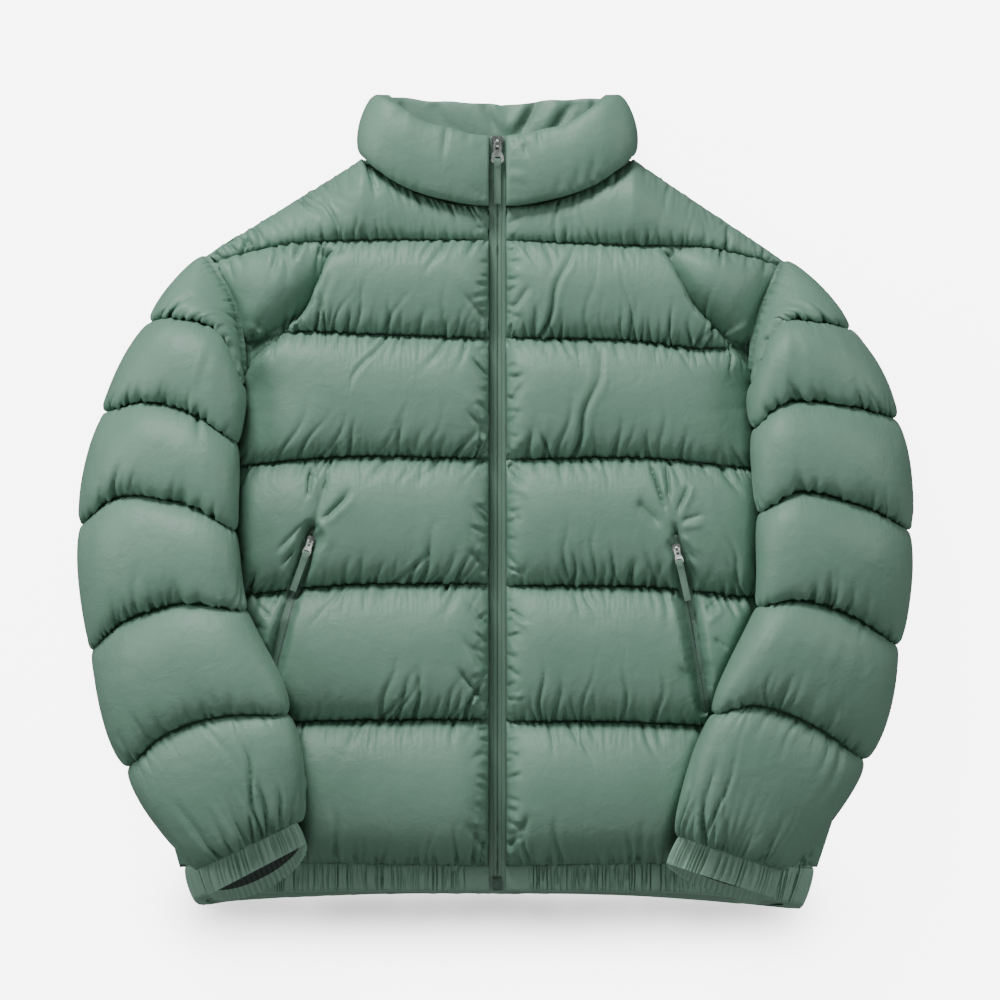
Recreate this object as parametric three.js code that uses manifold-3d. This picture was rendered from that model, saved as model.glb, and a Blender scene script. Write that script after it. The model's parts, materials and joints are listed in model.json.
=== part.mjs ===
// A quilted down jacket, zipped to the top and laid on its back on a flat surface.
// Millimetres. +Y runs to the collar, +Z up from the surface, X across. Sides are the wearer's own:
// the right side lies at -X and the left side at +X. "Out" is a distance from the centre line.
import * as THREE from "three";
import { mergeVertices } from "three/addons/utils/BufferGeometryUtils.js";
import Module from "manifold-3d";

// Gaps between neighbours
const SEAM_GAP = 0.4;
const LAYER_GAP = 3.4;
const LAYER_GAP_RUN = 20;
const ARMHOLE_GAP = 1.1;
const EDGE_GAP = 0.8;
const TRIM_GAP = 0.7;
const SLEEVE_CLEARANCE = 5;

// Body: levels of the layer between back and front, and the walls on it
const MID_LEVEL = 39;
const SIDE_LEVEL = 16;
const SHOULDER_LEVEL = 20;
const ARMPIT_LEVEL = 30;
const FRONT_HEM_LEVEL = 27;
const BACK_HEM_LEVEL = 9;
const SIDE_ROLL = 95;
const SHOULDER_ROLL = 75;
const HEM_ROLL = 80;
const SEAM_WALL = 9;
const EDGE_WALL = 3.5;
// A wall grows from EDGE_WALL to SEAM_WALL over this distance.
const SEAM_WALL_RUN = 30;
// The shoulder's fall fades in over these distances from the centre line.
const SHOULDER_FADE = { from: 105, over: 50 };
const HEM_LEVEL_RUN = 60;
const ARMPIT_RUN = 35;
const PUFF_PER_HEIGHT = 0.27;

// Share of the puff that is left at the zip, the armhole and under a sleeve, and how fast it grows.
const ZIP_PUFF = { left: 0.35, run: 9 };
const ARMHOLE_PUFF = { left: 0.25, run: 14 };
const SIDE_PUFF_RUN = 70;
const PRESSED_PUFF = 0.35;
const PRESS_RUN = 34;
const PRESS_MARGIN = 4;
const FULL_PUFF = 36;
const HEM_FALL_RUN = 45;
const EDGE_FALL_RUN = 26;
const ARMPIT_FALL_RUN = 25;

// Neck, shoulder, hem and zip
const ZIP_EDGE = 8.3;
const NECK_OUT = 129;
const NECK_FRONT_Y = 280;
const NECK_CORNER_Y = 327;
const NECK_BACK_Y = 320;
const NECK_CURVE = 2.4;
const HEM_SEAM_Y = -345;
const ZIP_TOP_Y = 348;
const ZIP_BOTTOM_Y = -370;

// Seams across a front, from the shoulder down: how high each lies at the zip, below the neck corner,
// halfway from there to the side, and at the side.
const FRONT_SEAMS = {
  right: [
    { zip: 249, corner: 249, halfway: 245, side: 229 },
    { zip: 156, corner: 160, halfway: 162, side: 152 },
    { zip: 42, corner: 44, halfway: 39, side: 30 },
    { zip: -77, corner: -77, halfway: -85, side: -95 },
    { zip: -205, corner: -206, halfway: -209, side: -214 },
    { zip: HEM_SEAM_Y, corner: -343, halfway: -342, side: -346 },
  ],
  left: [
    { zip: 249, corner: 244, halfway: 242, side: 226 },
    { zip: 157, corner: 154, halfway: 147, side: 148 },
    { zip: 41, corner: 43, halfway: 36, side: 27 },
    { zip: -79, corner: -79, halfway: -88, side: -100 },
    { zip: -207, corner: -208, halfway: -214, side: -219 },
    { zip: HEM_SEAM_Y, corner: -343, halfway: -342, side: -347 },
  ],
};

// Armhole: heights of the shoulder tip and the armpit, and how far out it lies at even steps between.
const ARMHOLE = {
  right: { tipY: 235, pitY: 121, outs: [278, 254, 245, 242] },
  left: { tipY: 230, pitY: 124, outs: [273, 254, 245, 242] },
};

// The side seam, from the armpit down to the hem.
const SIDE_EDGE = {
  right: [
    { y: 121, out: 242 },
    { y: 69, out: 262 },
    { y: 40, out: 278 },
    { y: -17, out: 292 },
    { y: -93, out: 309 },
    { y: -188, out: 325 },
    { y: -254, out: 325 },
    { y: -302, out: 317 },
    { y: -346, out: 304 },
  ],
  left: [
    { y: 124, out: 242 },
    { y: 69, out: 266 },
    { y: 31, out: 284 },
    { y: -17, out: 300 },
    { y: -93, out: 319 },
    { y: -178, out: 341 },
    { y: -226, out: 341 },
    { y: -292, out: 324 },
    { y: -347, out: 306 },
  ],
};

// Deep folds in a front: from, to, half width and depth.
const FRONT_FOLDS = {
  right: [
    { from: [150, 232], to: [236, 134], half: 20, depth: 15 },
    { from: [172, -22], to: [200, -105], half: 17, depth: 17 },
    { from: [200, -105], to: [209, -150], half: 17, depth: 19 },
    { from: [209, -150], to: [206, -182], half: 15, depth: 12 },
    { from: [174, -20], to: [140, 15], half: 14, depth: 7 },
  ],
  left: [
    { from: [155, 232], to: [237, 134], half: 20, depth: 14 },
    { from: [166, -28], to: [184, -110], half: 17, depth: 17 },
    { from: [184, -110], to: [191, -165], half: 17, depth: 19 },
    { from: [191, -165], to: [198, -198], half: 15, depth: 12 },
    { from: [166, -30], to: [186, 16], half: 14, depth: 7 },
  ],
};

// Seams round a sleeve, from the armhole to the cuff. Plan points along the top of each, outer edge
// first, as [out, y]. Then mid-height of the outer and inner edges, the rise of the top over a line
// between them, the puff that the next section has on top and at its edges, and how far the
// underside follows the bow of the top.
const armholePlan = (side) => {
  const { tipY, pitY, outs } = ARMHOLE[side];
  return outs.map((out, i) => [out, tipY + ((pitY - tipY) * i) / 3]);
};
const SLEEVE_SEAMS = {
  right: [
    {
      plan: armholePlan("right"),
      outerZ: 22, innerZ: 38, rise: 14, puff: 14, edge: 7, under: 1,
    },
    {
      plan: [[328, 171], [304, 175], [264, 161], [243, 112]],
      outerZ: 33, innerZ: 54, rise: 22, puff: 24, edge: 6, under: 0.7,
    },
    {
      plan: [[371, 86], [330, 95], [283, 82], [245, 57]],
      outerZ: 38, innerZ: 72, rise: 26, puff: 26, edge: 5, under: 0.3,
    },
    {
      plan: [[394, -21], [354, 6], [287, -3], [244, -26]],
      outerZ: 41, innerZ: 86, rise: 28, puff: 27, edge: 4, under: 0.2,
    },
    {
      plan: [[384, -140], [349, -110], [292, -94], [235, -102]],
      outerZ: 46, innerZ: 94, rise: 28, puff: 27, edge: 2, under: 0.2,
    },
    {
      plan: [[349, -250], [311, -217], [259, -200], [199, -199]],
      outerZ: 58, innerZ: 106, rise: 26, puff: 25, edge: 7, under: 0.2,
    },
    {
      plan: [[281, -345], [250, -330], [219, -315], [188, -300]],
      outerZ: 76, innerZ: 98, rise: 14, puff: 25, edge: 7, under: 0.2,
    },
  ],
  left: [
    {
      plan: armholePlan("left"),
      outerZ: 22, innerZ: 38, rise: 14, puff: 14, edge: 7, under: 1,
    },
    {
      plan: [[333, 164], [302, 171], [266, 168], [243, 113]],
      outerZ: 33, innerZ: 54, rise: 22, puff: 24, edge: 6, under: 0.7,
    },
    {
      plan: [[376, 80], [330, 92], [273, 95], [245, 71]],
      outerZ: 38, innerZ: 72, rise: 26, puff: 26, edge: 6, under: 0.3,
    },
    {
      plan: [[389, -26], [349, -5], [287, 11], [249, -9]],
      outerZ: 41, innerZ: 86, rise: 28, puff: 27, edge: 5, under: 0.2,
    },
    {
      plan: [[378, -135], [335, -107], [287, -91], [247, -98]],
      outerZ: 46, innerZ: 94, rise: 28, puff: 27, edge: 5, under: 0.2,
    },
    {
      plan: [[346, -243], [297, -209], [245, -190], [205, -199]],
      outerZ: 58, innerZ: 106, rise: 26, puff: 25, edge: 7, under: 0.2,
    },
    {
      plan: [[267, -347], [234.7, -335.7], [202.3, -324.3], [170, -313]],
      outerZ: 76, innerZ: 98, rise: 14, puff: 25, edge: 7, under: 0.2,
    },
  ],
};

// Cuffs: how far the band runs on from the sleeve at its outer and inner ends, and how much further
// the layer underneath reaches, as [out, y].
const CUFFS = {
  right: { outerRun: [-8, -25], innerRun: [-7, -21], under: [-9, -20] },
  left: { outerRun: [-8, -25], innerRun: [-10, -26], under: [-2, -13] },
};
const CUFF_WALL = 3.5;
// How far the underside of a sleeve and of a cuff may hang below the line between the edges.
const SAG = { sleeve: 120, cuff: 14, from: 5.3 };
const CUFF_GATHERS = 44;
const GATHER_DEPTH = 1.3;

// Collar, as a strip from the zip round to the back: foot and top edge as [out, y], and the middle
// of its wall above the surface with half the wall's thickness there.
const COLLAR = [
  { foot: [8.3, 281], top: [8.3, 347], z: 61, half: 12 },
  { foot: [24, 282], top: [23, 349], z: 62, half: 15 },
  { foot: [46, 286], top: [43, 353], z: 63, half: 16 },
  { foot: [70, 292], top: [64, 359], z: 63, half: 16 },
  { foot: [94, 302], top: [84, 370], z: 62, half: 16 },
  { foot: [112, 315], top: [98, 381], z: 59, half: 15 },
  { foot: [122, 327], top: [108, 386], z: 51, half: 14 },
  { foot: [123, 331], top: [110, 386], z: 40, half: 13 },
  { foot: [120, 330], top: [107, 386], z: 28, half: 14 },
  { foot: [108, 328], top: [96, 386], z: 19, half: 15 },
  { foot: [84, 325], top: [75, 385], z: 16, half: 16 },
  { foot: [45, 322], top: [40, 382], z: 16, half: 16 },
  { foot: [0, 321], top: [0, 379], z: 16, half: 16 },
];
const COLLAR_EDGE_SHARE = 0.35;

// Hem band, as a strip from the zip round to the back: seam and free edge as [out, y], middle height
// at each.
const HEM_BAND = {
  right: [
    { seam: [8.3, -345.5], edge: [8.3, -371], seamZ: 30, edgeZ: 26 },
    { seam: [60, -345], edge: [60, -371], seamZ: 30, edgeZ: 26 },
    { seam: [160, -343], edge: [160, -371], seamZ: 30, edgeZ: 25 },
    { seam: [240, -343], edge: [240, -373], seamZ: 27, edgeZ: 23 },
    { seam: [288, -346], edge: [278, -376], seamZ: 21, edgeZ: 19 },
    { seam: [298, -348], edge: [289, -382], seamZ: 14, edgeZ: 12 },
    { seam: [286, -348], edge: [278, -385], seamZ: 5, edgeZ: 4 },
    { seam: [240, -347], edge: [238, -380], seamZ: 3.2, edgeZ: 3.2 },
    { seam: [120, -346.5], edge: [120, -375], seamZ: 3.2, edgeZ: 3.2 },
    { seam: [0, -346.5], edge: [0, -374], seamZ: 3.2, edgeZ: 3.2 },
  ],
  left: [
    { seam: [8.3, -345.5], edge: [8.3, -371], seamZ: 30, edgeZ: 26 },
    { seam: [60, -345], edge: [60, -371], seamZ: 30, edgeZ: 26 },
    { seam: [160, -343], edge: [160, -372], seamZ: 30, edgeZ: 25 },
    { seam: [240, -344], edge: [240, -378], seamZ: 27, edgeZ: 23 },
    { seam: [292, -348], edge: [281, -383], seamZ: 21, edgeZ: 19 },
    { seam: [302, -349], edge: [291, -387], seamZ: 14, edgeZ: 12 },
    { seam: [290, -349], edge: [281, -388], seamZ: 5, edgeZ: 4 },
    { seam: [240, -348], edge: [238, -384], seamZ: 3.2, edgeZ: 3.2 },
    { seam: [120, -346.5], edge: [120, -376], seamZ: 3.2, edgeZ: 3.2 },
    { seam: [0, -346.5], edge: [0, -374], seamZ: 3.2, edgeZ: 3.2 },
  ],
};
const HEM_WALL = 5;
const HEM_GATHER_PITCH = 11;
const HEM_TURNED = 6;

// Front zip: where the middle of the tape lies along the jacket, from the collar's top down.
const ZIP_PATH = [
  { y: 347, z: 61 },
  { y: 320, z: 60 },
  { y: 292, z: 56 },
  { y: 272, z: 50 },
  { y: 240, z: 46 },
  { y: 0, z: 45 },
  { y: -280, z: 44 },
  { y: -325, z: 36 },
  { y: -346, z: 31 },
  { y: ZIP_BOTTOM_Y, z: 27 },
];
const TAPE_OUT = 8;
const TAPE_THICK = 1.4;
const COIL_OUT = 3.4;
const COIL_THICK = 2.6;

// Metal pieces of the front zip and of a pocket zip: sizes of slider, pull plate and strap.
const FRONT_PULL = {
  slider: { long: 15, wide: 11.4, thick: 3.2 },
  bridge: { long: 9, wide: 2.4, high: 5.4, hole: 1.15 },
  plate: { long: 18, wide: 12, neck: 7.4, thick: 2 },
  strap: { long: 39, wide: 8.4, thick: 2.4 },
};
const POCKET_PULL = {
  slider: { long: 11, wide: 8, thick: 2.6 },
  bridge: { long: 7, wide: 2, high: 4.6, hole: 0.95 },
  plate: { long: 13, wide: 8, neck: 5.8, thick: 1.7 },
  strap: { long: 37, wide: 8, thick: 2.2 },
};
const PIN_CLEARANCE = 0.3;
const FRONT_PULL_TILT = 0.18;
const POCKET_PULL_TILT = { right: 0.2, left: 0.2 };
const POCKET_SLIDER_DOWN = 14;
const ZIP_STOP = { wide: 9, long: 12, thick: 3.2 };

// Pocket openings, from the top down as [out, y].
const POCKETS = {
  right: [[172, -24], [183, -55], [195, -87], [203, -114], [209, -135], [210, -157], [206, -178]],
  left: [[166, -31], [173, -55], [181, -96], [186, -121], [190, -160], [197, -198]],
};
const POCKET_WIDE = 13;
const POCKET_THICK = 2.2;
const POCKET_RIDGE = 0.8;
const POCKET_SUNK = 4;

// Grids
const ROWS_PER_SECTION = [0, 0.06, 0.22, 0.5, 0.78, 0.94];
const FRONT_COLUMNS = [0, 0.03, 0.08, 0.16, 0.26, 0.36, 0.44, 0.52, 0.6, 0.68, 0.76, 0.84, 0.91, 0.96, 1];
const PLAIN_COLUMNS = [0, 0.2, 0.44, 0.54, 0.65, 0.76, 0.86, 0.94, 1];
const PLAIN_ROWS = [
  [0, 0.2, 0.4, 0.6, 0.8],
  [0, 0.17, 0.33, 0.5, 0.67, 0.83],
  [0, 0.25, 0.5],
  [0, 0.5],
  [0, 0.5],
  [0, 0.25, 0.5, 0.75],
];
// The neck's corner lies at this share of a front's width.
const CORNER_U = 0.44;
const BACK_SHOULDER_SHARES = [1, 0.8, 0.55, 0.27, 0];
const BACK_ROWS_Y = [
  219, 206, 193, 180, 167, 154, 138, 121, 100, 69, 35, -17, -93, -188, -240, -285, -320, HEM_SEAM_Y,
];
const BACK_COLUMNS = [1, 0.97, 0.9, 0.8, 0.66, 0.46, 0.24, 0];
const BACK_TURN = { run: 14, rise: 7, wall: 3 };
const SLEEVE_STATIONS = [0, 0.5, 1, 2, 3, 4, 5, 5.5, 6];
const SLEEVE_TOP_STEPS = 13;
const SLEEVE_UNDER_STEPS = 8;

const SIDES = { right: -1, left: 1 };
const BODY_COLOUR = 0x6d8e80;
const DARK_COLOUR = 0x4a605a;
const METAL_COLOUR = 0x9aa39e;

const wasm = await Module();
wasm.setup();

const lerp = THREE.MathUtils.lerp;
const clamp = THREE.MathUtils.clamp;
const point = (side, out, y, z) => new THREE.Vector3(SIDES[side] * out, y, z);

// A round shoulder: 0 at 0, level 1 from 1 on.
const roundRise = (q) => 1 - (1 - clamp(q, 0, 1)) ** 2;
// A filled section between two seams.
const puffProfile = (t) => Math.pow(Math.max(0, 4 * t * (1 - t)), 0.6);

// A smooth curve through rows of numbers, at a fractional row.
function smoothAt(values, at) {
  const last = values.length - 1;
  const k = Math.min(Math.floor(clamp(at, 0, last)), last - 1);
  const f = clamp(at, 0, last) - k;
  const b = values[k];
  const c = values[k + 1];
  const a = k > 0 ? values[k - 1] : 2 * b - c;
  const d = k + 2 <= last ? values[k + 2] : 2 * c - b;
  return 0.5 * (2 * b + (c - a) * f + (2 * a - 5 * b + 4 * c - d) * f * f + (3 * b - a - 3 * c + d) * f ** 3);
}

// A straight-line reading of a table by one of its columns, which runs downwards.
function readTable(table, key, at, column) {
  if (at >= table[0][key]) return table[0][column];
  for (let i = 1; i < table.length; i++) {
    if (at >= table[i][key]) {
      const f = (at - table[i - 1][key]) / (table[i][key] - table[i - 1][key]);
      return lerp(table[i - 1][column], table[i][column], f);
    }
  }
  return table[table.length - 1][column];
}

function sideOut(side, y) {
  const { tipY, pitY, outs } = ARMHOLE[side];
  if (y > pitY) return smoothAt(outs, (3 * (tipY - y)) / (tipY - pitY));
  return readTable(SIDE_EDGE[side], "y", y, "out");
}
const shoulderTip = (side) => ({ out: ARMHOLE[side].outs[0], y: ARMHOLE[side].tipY });
const armpitY = (side) => ARMHOLE[side].pitY;

// How far out the inner edge of a sleeve lies at a height.
function sleeveInnerOut(side, y) {
  const rows = SLEEVE_SEAMS[side].map((row) => ({ out: row.plan[3][0], y: row.plan[3][1] }));
  return readTable(rows, "y", y, "out");
}

// 1 where a sleeve lies on the body and presses it down, 0 clear of it.
function pressed(side, out, y) {
  const under = clamp((out - sleeveInnerOut(side, y) + PRESS_MARGIN) / PRESS_RUN, 0, 1);
  const q = under * clamp((armpitY(side) - y) / PRESS_RUN, 0, 1);
  return q * q * (3 - 2 * q);
}

// Top edge of a front: the neck's curve, then the straight shoulder.
function frontTopY(side, out) {
  if (out < NECK_OUT) {
    return NECK_FRONT_Y + (NECK_CORNER_Y - NECK_FRONT_Y) * Math.pow(out / NECK_OUT, NECK_CURVE);
  }
  const tip = shoulderTip(side);
  return lerp(NECK_CORNER_Y, tip.y, (out - NECK_OUT) / (tip.out - NECK_OUT));
}

// Level of the layer between back and front at the body's own edge.
function sideLevel(side, y) {
  const pit = armpitY(side);
  if (y >= pit) return lerp(ARMPIT_LEVEL, SHOULDER_LEVEL, (y - pit) / (shoulderTip(side).y - pit));
  return lerp(SIDE_LEVEL, ARMPIT_LEVEL, clamp(1 - (pit - y) / ARMPIT_RUN, 0, 1));
}

function layerLevel(side, out, y, hemLevel) {
  const edge = sideLevel(side, y);
  const fromSide = roundRise((sideOut(side, y) - out) / SIDE_ROLL);
  const shoulderShare = clamp((out - SHOULDER_FADE.from) / SHOULDER_FADE.over, 0, 1);
  const fromShoulder = lerp(1, roundRise((frontTopY(side, out) - y) / SHOULDER_ROLL), shoulderShare);
  const level = edge + (MID_LEVEL - edge) * fromSide * fromShoulder;
  const hem = lerp(edge, hemLevel, clamp((sideOut(side, y) - out) / HEM_LEVEL_RUN, 0, 1));
  return lerp(hem, level, roundRise((y - HEM_SEAM_Y) / HEM_ROLL));
}

// Depth of the folds at a place on a front.
function foldDepth(side, out, y) {
  let deepest = 0;
  for (const fold of FRONT_FOLDS[side]) {
    const [ax, ay] = fold.from;
    const [bx, by] = fold.to;
    const run = (bx - ax) ** 2 + (by - ay) ** 2;
    const f = clamp(((out - ax) * (bx - ax) + (y - ay) * (by - ay)) / run, 0, 1);
    const away = Math.hypot(out - ax - f * (bx - ax), y - ay - f * (by - ay));
    const q = clamp(1 - away / fold.half, 0, 1);
    deepest = Math.max(deepest, fold.depth * q * q * (3 - 2 * q));
  }
  return deepest;
}

// Wall over the layer's level at a seam, thinner at the edges.
function seamWall(side, out, y) {
  return lerp(EDGE_WALL, SEAM_WALL, clamp((sideOut(side, y) - out) / SEAM_WALL_RUN, 0, 1));
}

// How much of its puff a section keeps near the zip and the side.
function puffShare(side, out, y) {
  const zip = lerp(1, ZIP_PUFF.left, Math.exp(-(out - ZIP_EDGE) / ZIP_PUFF.run));
  const inward = Math.max(0, sideOut(side, y) - out);
  const armhole = lerp(1, ARMHOLE_PUFF.left, Math.exp(-inward / ARMHOLE_PUFF.run));
  const below = Math.pow(clamp(inward / SIDE_PUFF_RUN, 0, 1), 0.6);
  return zip * (y > armpitY(side) ? armhole : below) * lerp(1, PRESSED_PUFF, pressed(side, out, y));
}

// Highest level of a front there, with its sections full; sinks to the surface just outside the edge.
function bodyTop(side, out, y) {
  const inward = sideOut(side, y) - out;
  const belowArmpit = clamp((armpitY(side) + PRESS_MARGIN - y) / ARMPIT_FALL_RUN, 0, 1);
  const edge = sideLevel(side, y) + EDGE_WALL;
  if (inward < 0) return belowArmpit * Math.max(0, edge * (1 + inward / EDGE_FALL_RUN));
  const top = seamWall(side, out, y) + FULL_PUFF * puffShare(side, out, y);
  const hemFall = clamp((y - HEM_SEAM_Y) / HEM_FALL_RUN, 0, 1) ** 0.6;
  return layerLevel(side, out, Math.max(y, HEM_SEAM_Y), FRONT_HEM_LEVEL) + lerp(EDGE_WALL, top, hemFall);
}

// Adds triangles to a list: a grid of points, turned round where flip is set.
function addGrid(list, rows, flip) {
  for (let i = 0; i + 1 < rows.length; i++) {
    for (let j = 0; j + 1 < rows[i].length; j++) {
      const quad = [rows[i][j], rows[i + 1][j], rows[i + 1][j + 1], rows[i][j + 1]];
      if (flip) quad.reverse();
      list.push([quad[0], quad[1], quad[2]], [quad[0], quad[2], quad[3]]);
    }
  }
}

// Adds the strip of triangles between two lines of points that run the same way.
function addStrip(list, lineA, lineB) {
  const lengths = (line) => {
    const sums = [0];
    for (let i = 1; i < line.length; i++) sums.push(sums[i - 1] + line[i].distanceTo(line[i - 1]));
    return sums.map((s) => s / sums[sums.length - 1]);
  };
  const a = lengths(lineA);
  const b = lengths(lineB);
  let i = 0;
  let j = 0;
  while (i + 1 < lineA.length || j + 1 < lineB.length) {
    const stepA = j + 1 >= lineB.length || (i + 1 < lineA.length && a[i + 1] <= b[j + 1]);
    if (stepA) {
      list.push([lineA[i + 1], lineA[i], lineB[j]]);
      i++;
    } else {
      list.push([lineB[j], lineB[j + 1], lineA[i]]);
      j++;
    }
  }
}

// A closed body from a list of triangles, faces outward.
function bodyFrom(list) {
  const numbers = [];
  let volume = 0;
  for (const [a, b, c] of list) volume += a.dot(b.clone().cross(c));
  for (const [a, b, c] of list) {
    const three = volume < 0 ? [a, c, b] : [a, b, c];
    const flat = a.distanceTo(b) < 1e-3 || b.distanceTo(c) < 1e-3 || c.distanceTo(a) < 1e-3;
    if (!flat) for (const p of three) numbers.push(p.x, p.y, p.z);
  }
  const geometry = new THREE.BufferGeometry();
  geometry.setAttribute("position", new THREE.Float32BufferAttribute(numbers, 3));
  return mergeVertices(geometry, 1e-3);
}

// A padded wall: an outer grid and a plainer inner grid with the same four corners' order.
function wall(outer, inner) {
  const list = [];
  addGrid(list, outer, false);
  addGrid(list, inner, true);
  const left = (g) => g.map((r) => r[0]);
  const right = (g) => g.map((r) => r[r.length - 1]).reverse();
  const bottom = (g) => g[g.length - 1].slice();
  const top = (g) => g[0].slice().reverse();
  for (const edge of [left, bottom, right, top]) addStrip(list, edge(outer), edge(inner));
  return bodyFrom(list);
}

// A padded tube: closed outer rings and plainer closed inner rings, open at both ends.
function tube(outer, inner) {
  const closed = (rings) => rings.map((r) => [...r, r[0]]);
  const a = closed(outer);
  const b = closed(inner);
  const list = [];
  addGrid(list, a, false);
  addGrid(list, b, true);
  addStrip(list, a[0].slice().reverse(), b[0].slice().reverse());
  addStrip(list, a[a.length - 1], b[b.length - 1]);
  return bodyFrom(list);
}

function named(name, geometry, colour = BODY_COLOUR, metalness = 0) {
  geometry.computeVertexNormals();
  const roughness = metalness ? 0.35 : 0.5;
  const material = new THREE.MeshStandardMaterial({ color: colour, roughness, metalness });
  const mesh = new THREE.Mesh(geometry, material);
  mesh.name = name;
  return mesh;
}

// Plan of a front: a place along a row, u from the zip to the side.
function seamPlan(side, index, u) {
  const seam = index === 0 ? null : FRONT_SEAMS[side][index - 1];
  const sideY = seam ? seam.side : shoulderTip(side).y;
  const edge = sideOut(side, sideY);
  const out =
    u < CORNER_U
      ? lerp(ZIP_EDGE, NECK_OUT, u / CORNER_U)
      : lerp(NECK_OUT, edge, (u - CORNER_U) / (1 - CORNER_U));
  if (!seam) return { out, y: frontTopY(side, out) };
  const at = u < CORNER_U ? u / CORNER_U : 1 + (2 * (u - CORNER_U)) / (1 - CORNER_U);
  return { out, y: smoothAt([seam.zip, seam.corner, seam.halfway, seam.side], at) };
}

// A place on a front: section k, t down it, u across it.
function frontPlan(side, k, t, u) {
  const above = seamPlan(side, k, u);
  const below = seamPlan(side, k + 1, u);
  const y = lerp(above.y, below.y, t);
  const out = lerp(above.out, below.out, t);
  const stretch = u < CORNER_U ? 0 : (u - CORNER_U) / (1 - CORNER_U);
  const endAbove = seamPlan(side, k, 1);
  const endBelow = seamPlan(side, k + 1, 1);
  const edgeShift = sideOut(side, lerp(endAbove.y, endBelow.y, t)) - lerp(endAbove.out, endBelow.out, t);
  return { out: out + stretch * edgeShift, y, tall: above.y - below.y };
}

function frontOuter(side, k, t, u) {
  const { out, y, tall } = frontPlan(side, k, t, u);
  const level = layerLevel(side, out, y, FRONT_HEM_LEVEL) + seamWall(side, out, y);
  const puff = PUFF_PER_HEIGHT * tall * puffProfile(t) * puffShare(side, out, y);
  const folded = Math.max(puff - foldDepth(side, out, y), Math.min(puff, 0));
  return point(side, out, y, level + folded);
}

// Rows down a front or along a sleeve, as section and share of it.
function sectionRows(stepsOf) {
  const rows = [];
  for (let k = 0; k < FRONT_SEAMS.right.length; k++) for (const t of stepsOf(k)) rows.push([k, t]);
  rows.push([FRONT_SEAMS.right.length - 1, 1]);
  return rows;
}

function makeFront(side) {
  const outer = sectionRows(() => ROWS_PER_SECTION).map(([k, t]) =>
    FRONT_COLUMNS.map((u) => frontOuter(side, k, t, u)),
  );
  const inner = sectionRows((k) => PLAIN_ROWS[k]).map(([k, t]) =>
    PLAIN_COLUMNS.map((u) => {
      const { out, y } = frontPlan(side, k, t, u);
      return point(side, out, y, layerLevel(side, out, y, FRONT_HEM_LEVEL));
    }),
  );
  return wall(outer, inner);
}

// The back, one piece: its lower face rests flat, its edges turn up to meet the fronts and sleeves.
function backRow(lower, edgeAt, yAt) {
  const place = (side, share) => {
    const edge = edgeAt(side);
    const out = edge * share;
    const y = yAt(side, out);
    const fromShoulder = out > NECK_OUT ? frontTopY(side, out) - y : Infinity;
    const inward = Math.max(0, Math.min(sideOut(side, y) - out, fromShoulder));
    const drop = LAYER_GAP * clamp(inward / LAYER_GAP_RUN, 0, 1) + EDGE_GAP;
    const below = Math.min(y, frontTopY(side, Math.max(out, NECK_OUT)));
    const top = layerLevel(side, out, below, BACK_HEM_LEVEL) - drop;
    const turn = clamp(1 - (edge - out) / BACK_TURN.run, 0, 1);
    const lift = Math.min(top - BACK_TURN.wall, BACK_TURN.rise * turn * turn);
    return point(side, out, y, lower ? lift : top);
  };
  const right = BACK_COLUMNS.map((share) => place("right", share));
  const left = BACK_COLUMNS.slice(0, -1).reverse().map((share) => place("left", share));
  return [...right, ...left];
}

function makeBack() {
  const grid = (lower) => {
    const shoulder = BACK_SHOULDER_SHARES.map((f) =>
      backRow(lower, (side) => shoulderTip(side).out, (side, out) => {
        const neck = lerp(NECK_BACK_Y, NECK_CORNER_Y, (out / NECK_OUT) ** 3);
        return lerp(shoulderTip(side).y, out < NECK_OUT ? neck : frontTopY(side, out), f);
      }),
    );
    const rest = BACK_ROWS_Y.map((y) => backRow(lower, (side) => sideOut(side, y), () => y));
    return [...shoulder, ...rest];
  };
  return wall(grid(true), grid(false));
}

// A sleeve's plan and heights at a fractional seam number, angle 0 at the outer edge, half a turn at
// the inner edge, the top between them.
function sleevePoint(side, at, angle, puffed = true) {
  const seams = SLEEVE_SEAMS[side];
  const read = (get) => smoothAt(seams.map(get), at);
  const plan = [0, 1, 2, 3].map((i) => [read((r) => r.plan[i][0]), read((r) => r.plan[i][1])]);
  const across = (1 - Math.cos(angle)) / 2;
  const over = Math.sin(angle);
  const bowed = [0, 1].map((axis) => smoothAt(plan.map((p) => p[axis]), across * 3));
  const straight = [0, 1].map((axis) => lerp(plan[0][axis], plan[3][axis], across));
  const share = over >= 0 ? 1 : clamp(read((r) => r.under), 0, 1);
  let out = lerp(straight[0], bowed[0], share);
  let y = lerp(straight[1], bowed[1], share);
  const chord = lerp(read((r) => r.outerZ), read((r) => r.innerZ), across);
  const fraction = at - Math.floor(at);
  const profile = puffed ? puffProfile(fraction) : 0;
  const width = Math.hypot(plan[0][0] - plan[3][0], plan[0][1] - plan[3][1]);
  const atArmpit = at < 1 && across > 0.5 ? at * 0.3 : 1;
  const spread = read((r) => r.edge) * profile * Math.cos(angle) * atArmpit;
  out += (spread * (plan[0][0] - plan[3][0])) / width;
  y += (spread * (plan[0][1] - plan[3][1])) / width;
  const arch = Math.pow(Math.abs(over), 0.62);
  let z;
  if (over >= 0) {
    const puff = read((r) => r.puff) * profile * Math.pow(over, 0.7) * topShare(side, at, across);
    z = chord + read((r) => r.rise) * arch + puff;
  } else {
    const sag = lerp(SAG.sleeve, SAG.cuff, clamp((at - SAG.from) / (seams.length - 1 - SAG.from), 0, 1));
    const clear = bodyTop(side, out, y) + SLEEVE_CLEARANCE * clamp(at / 1.5, 0, 1);
    z = Math.min(Math.max(chord - sag * arch, clear, 0), chord - 3 * arch);
  }
  return point(side, out, y, z);
}

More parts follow.
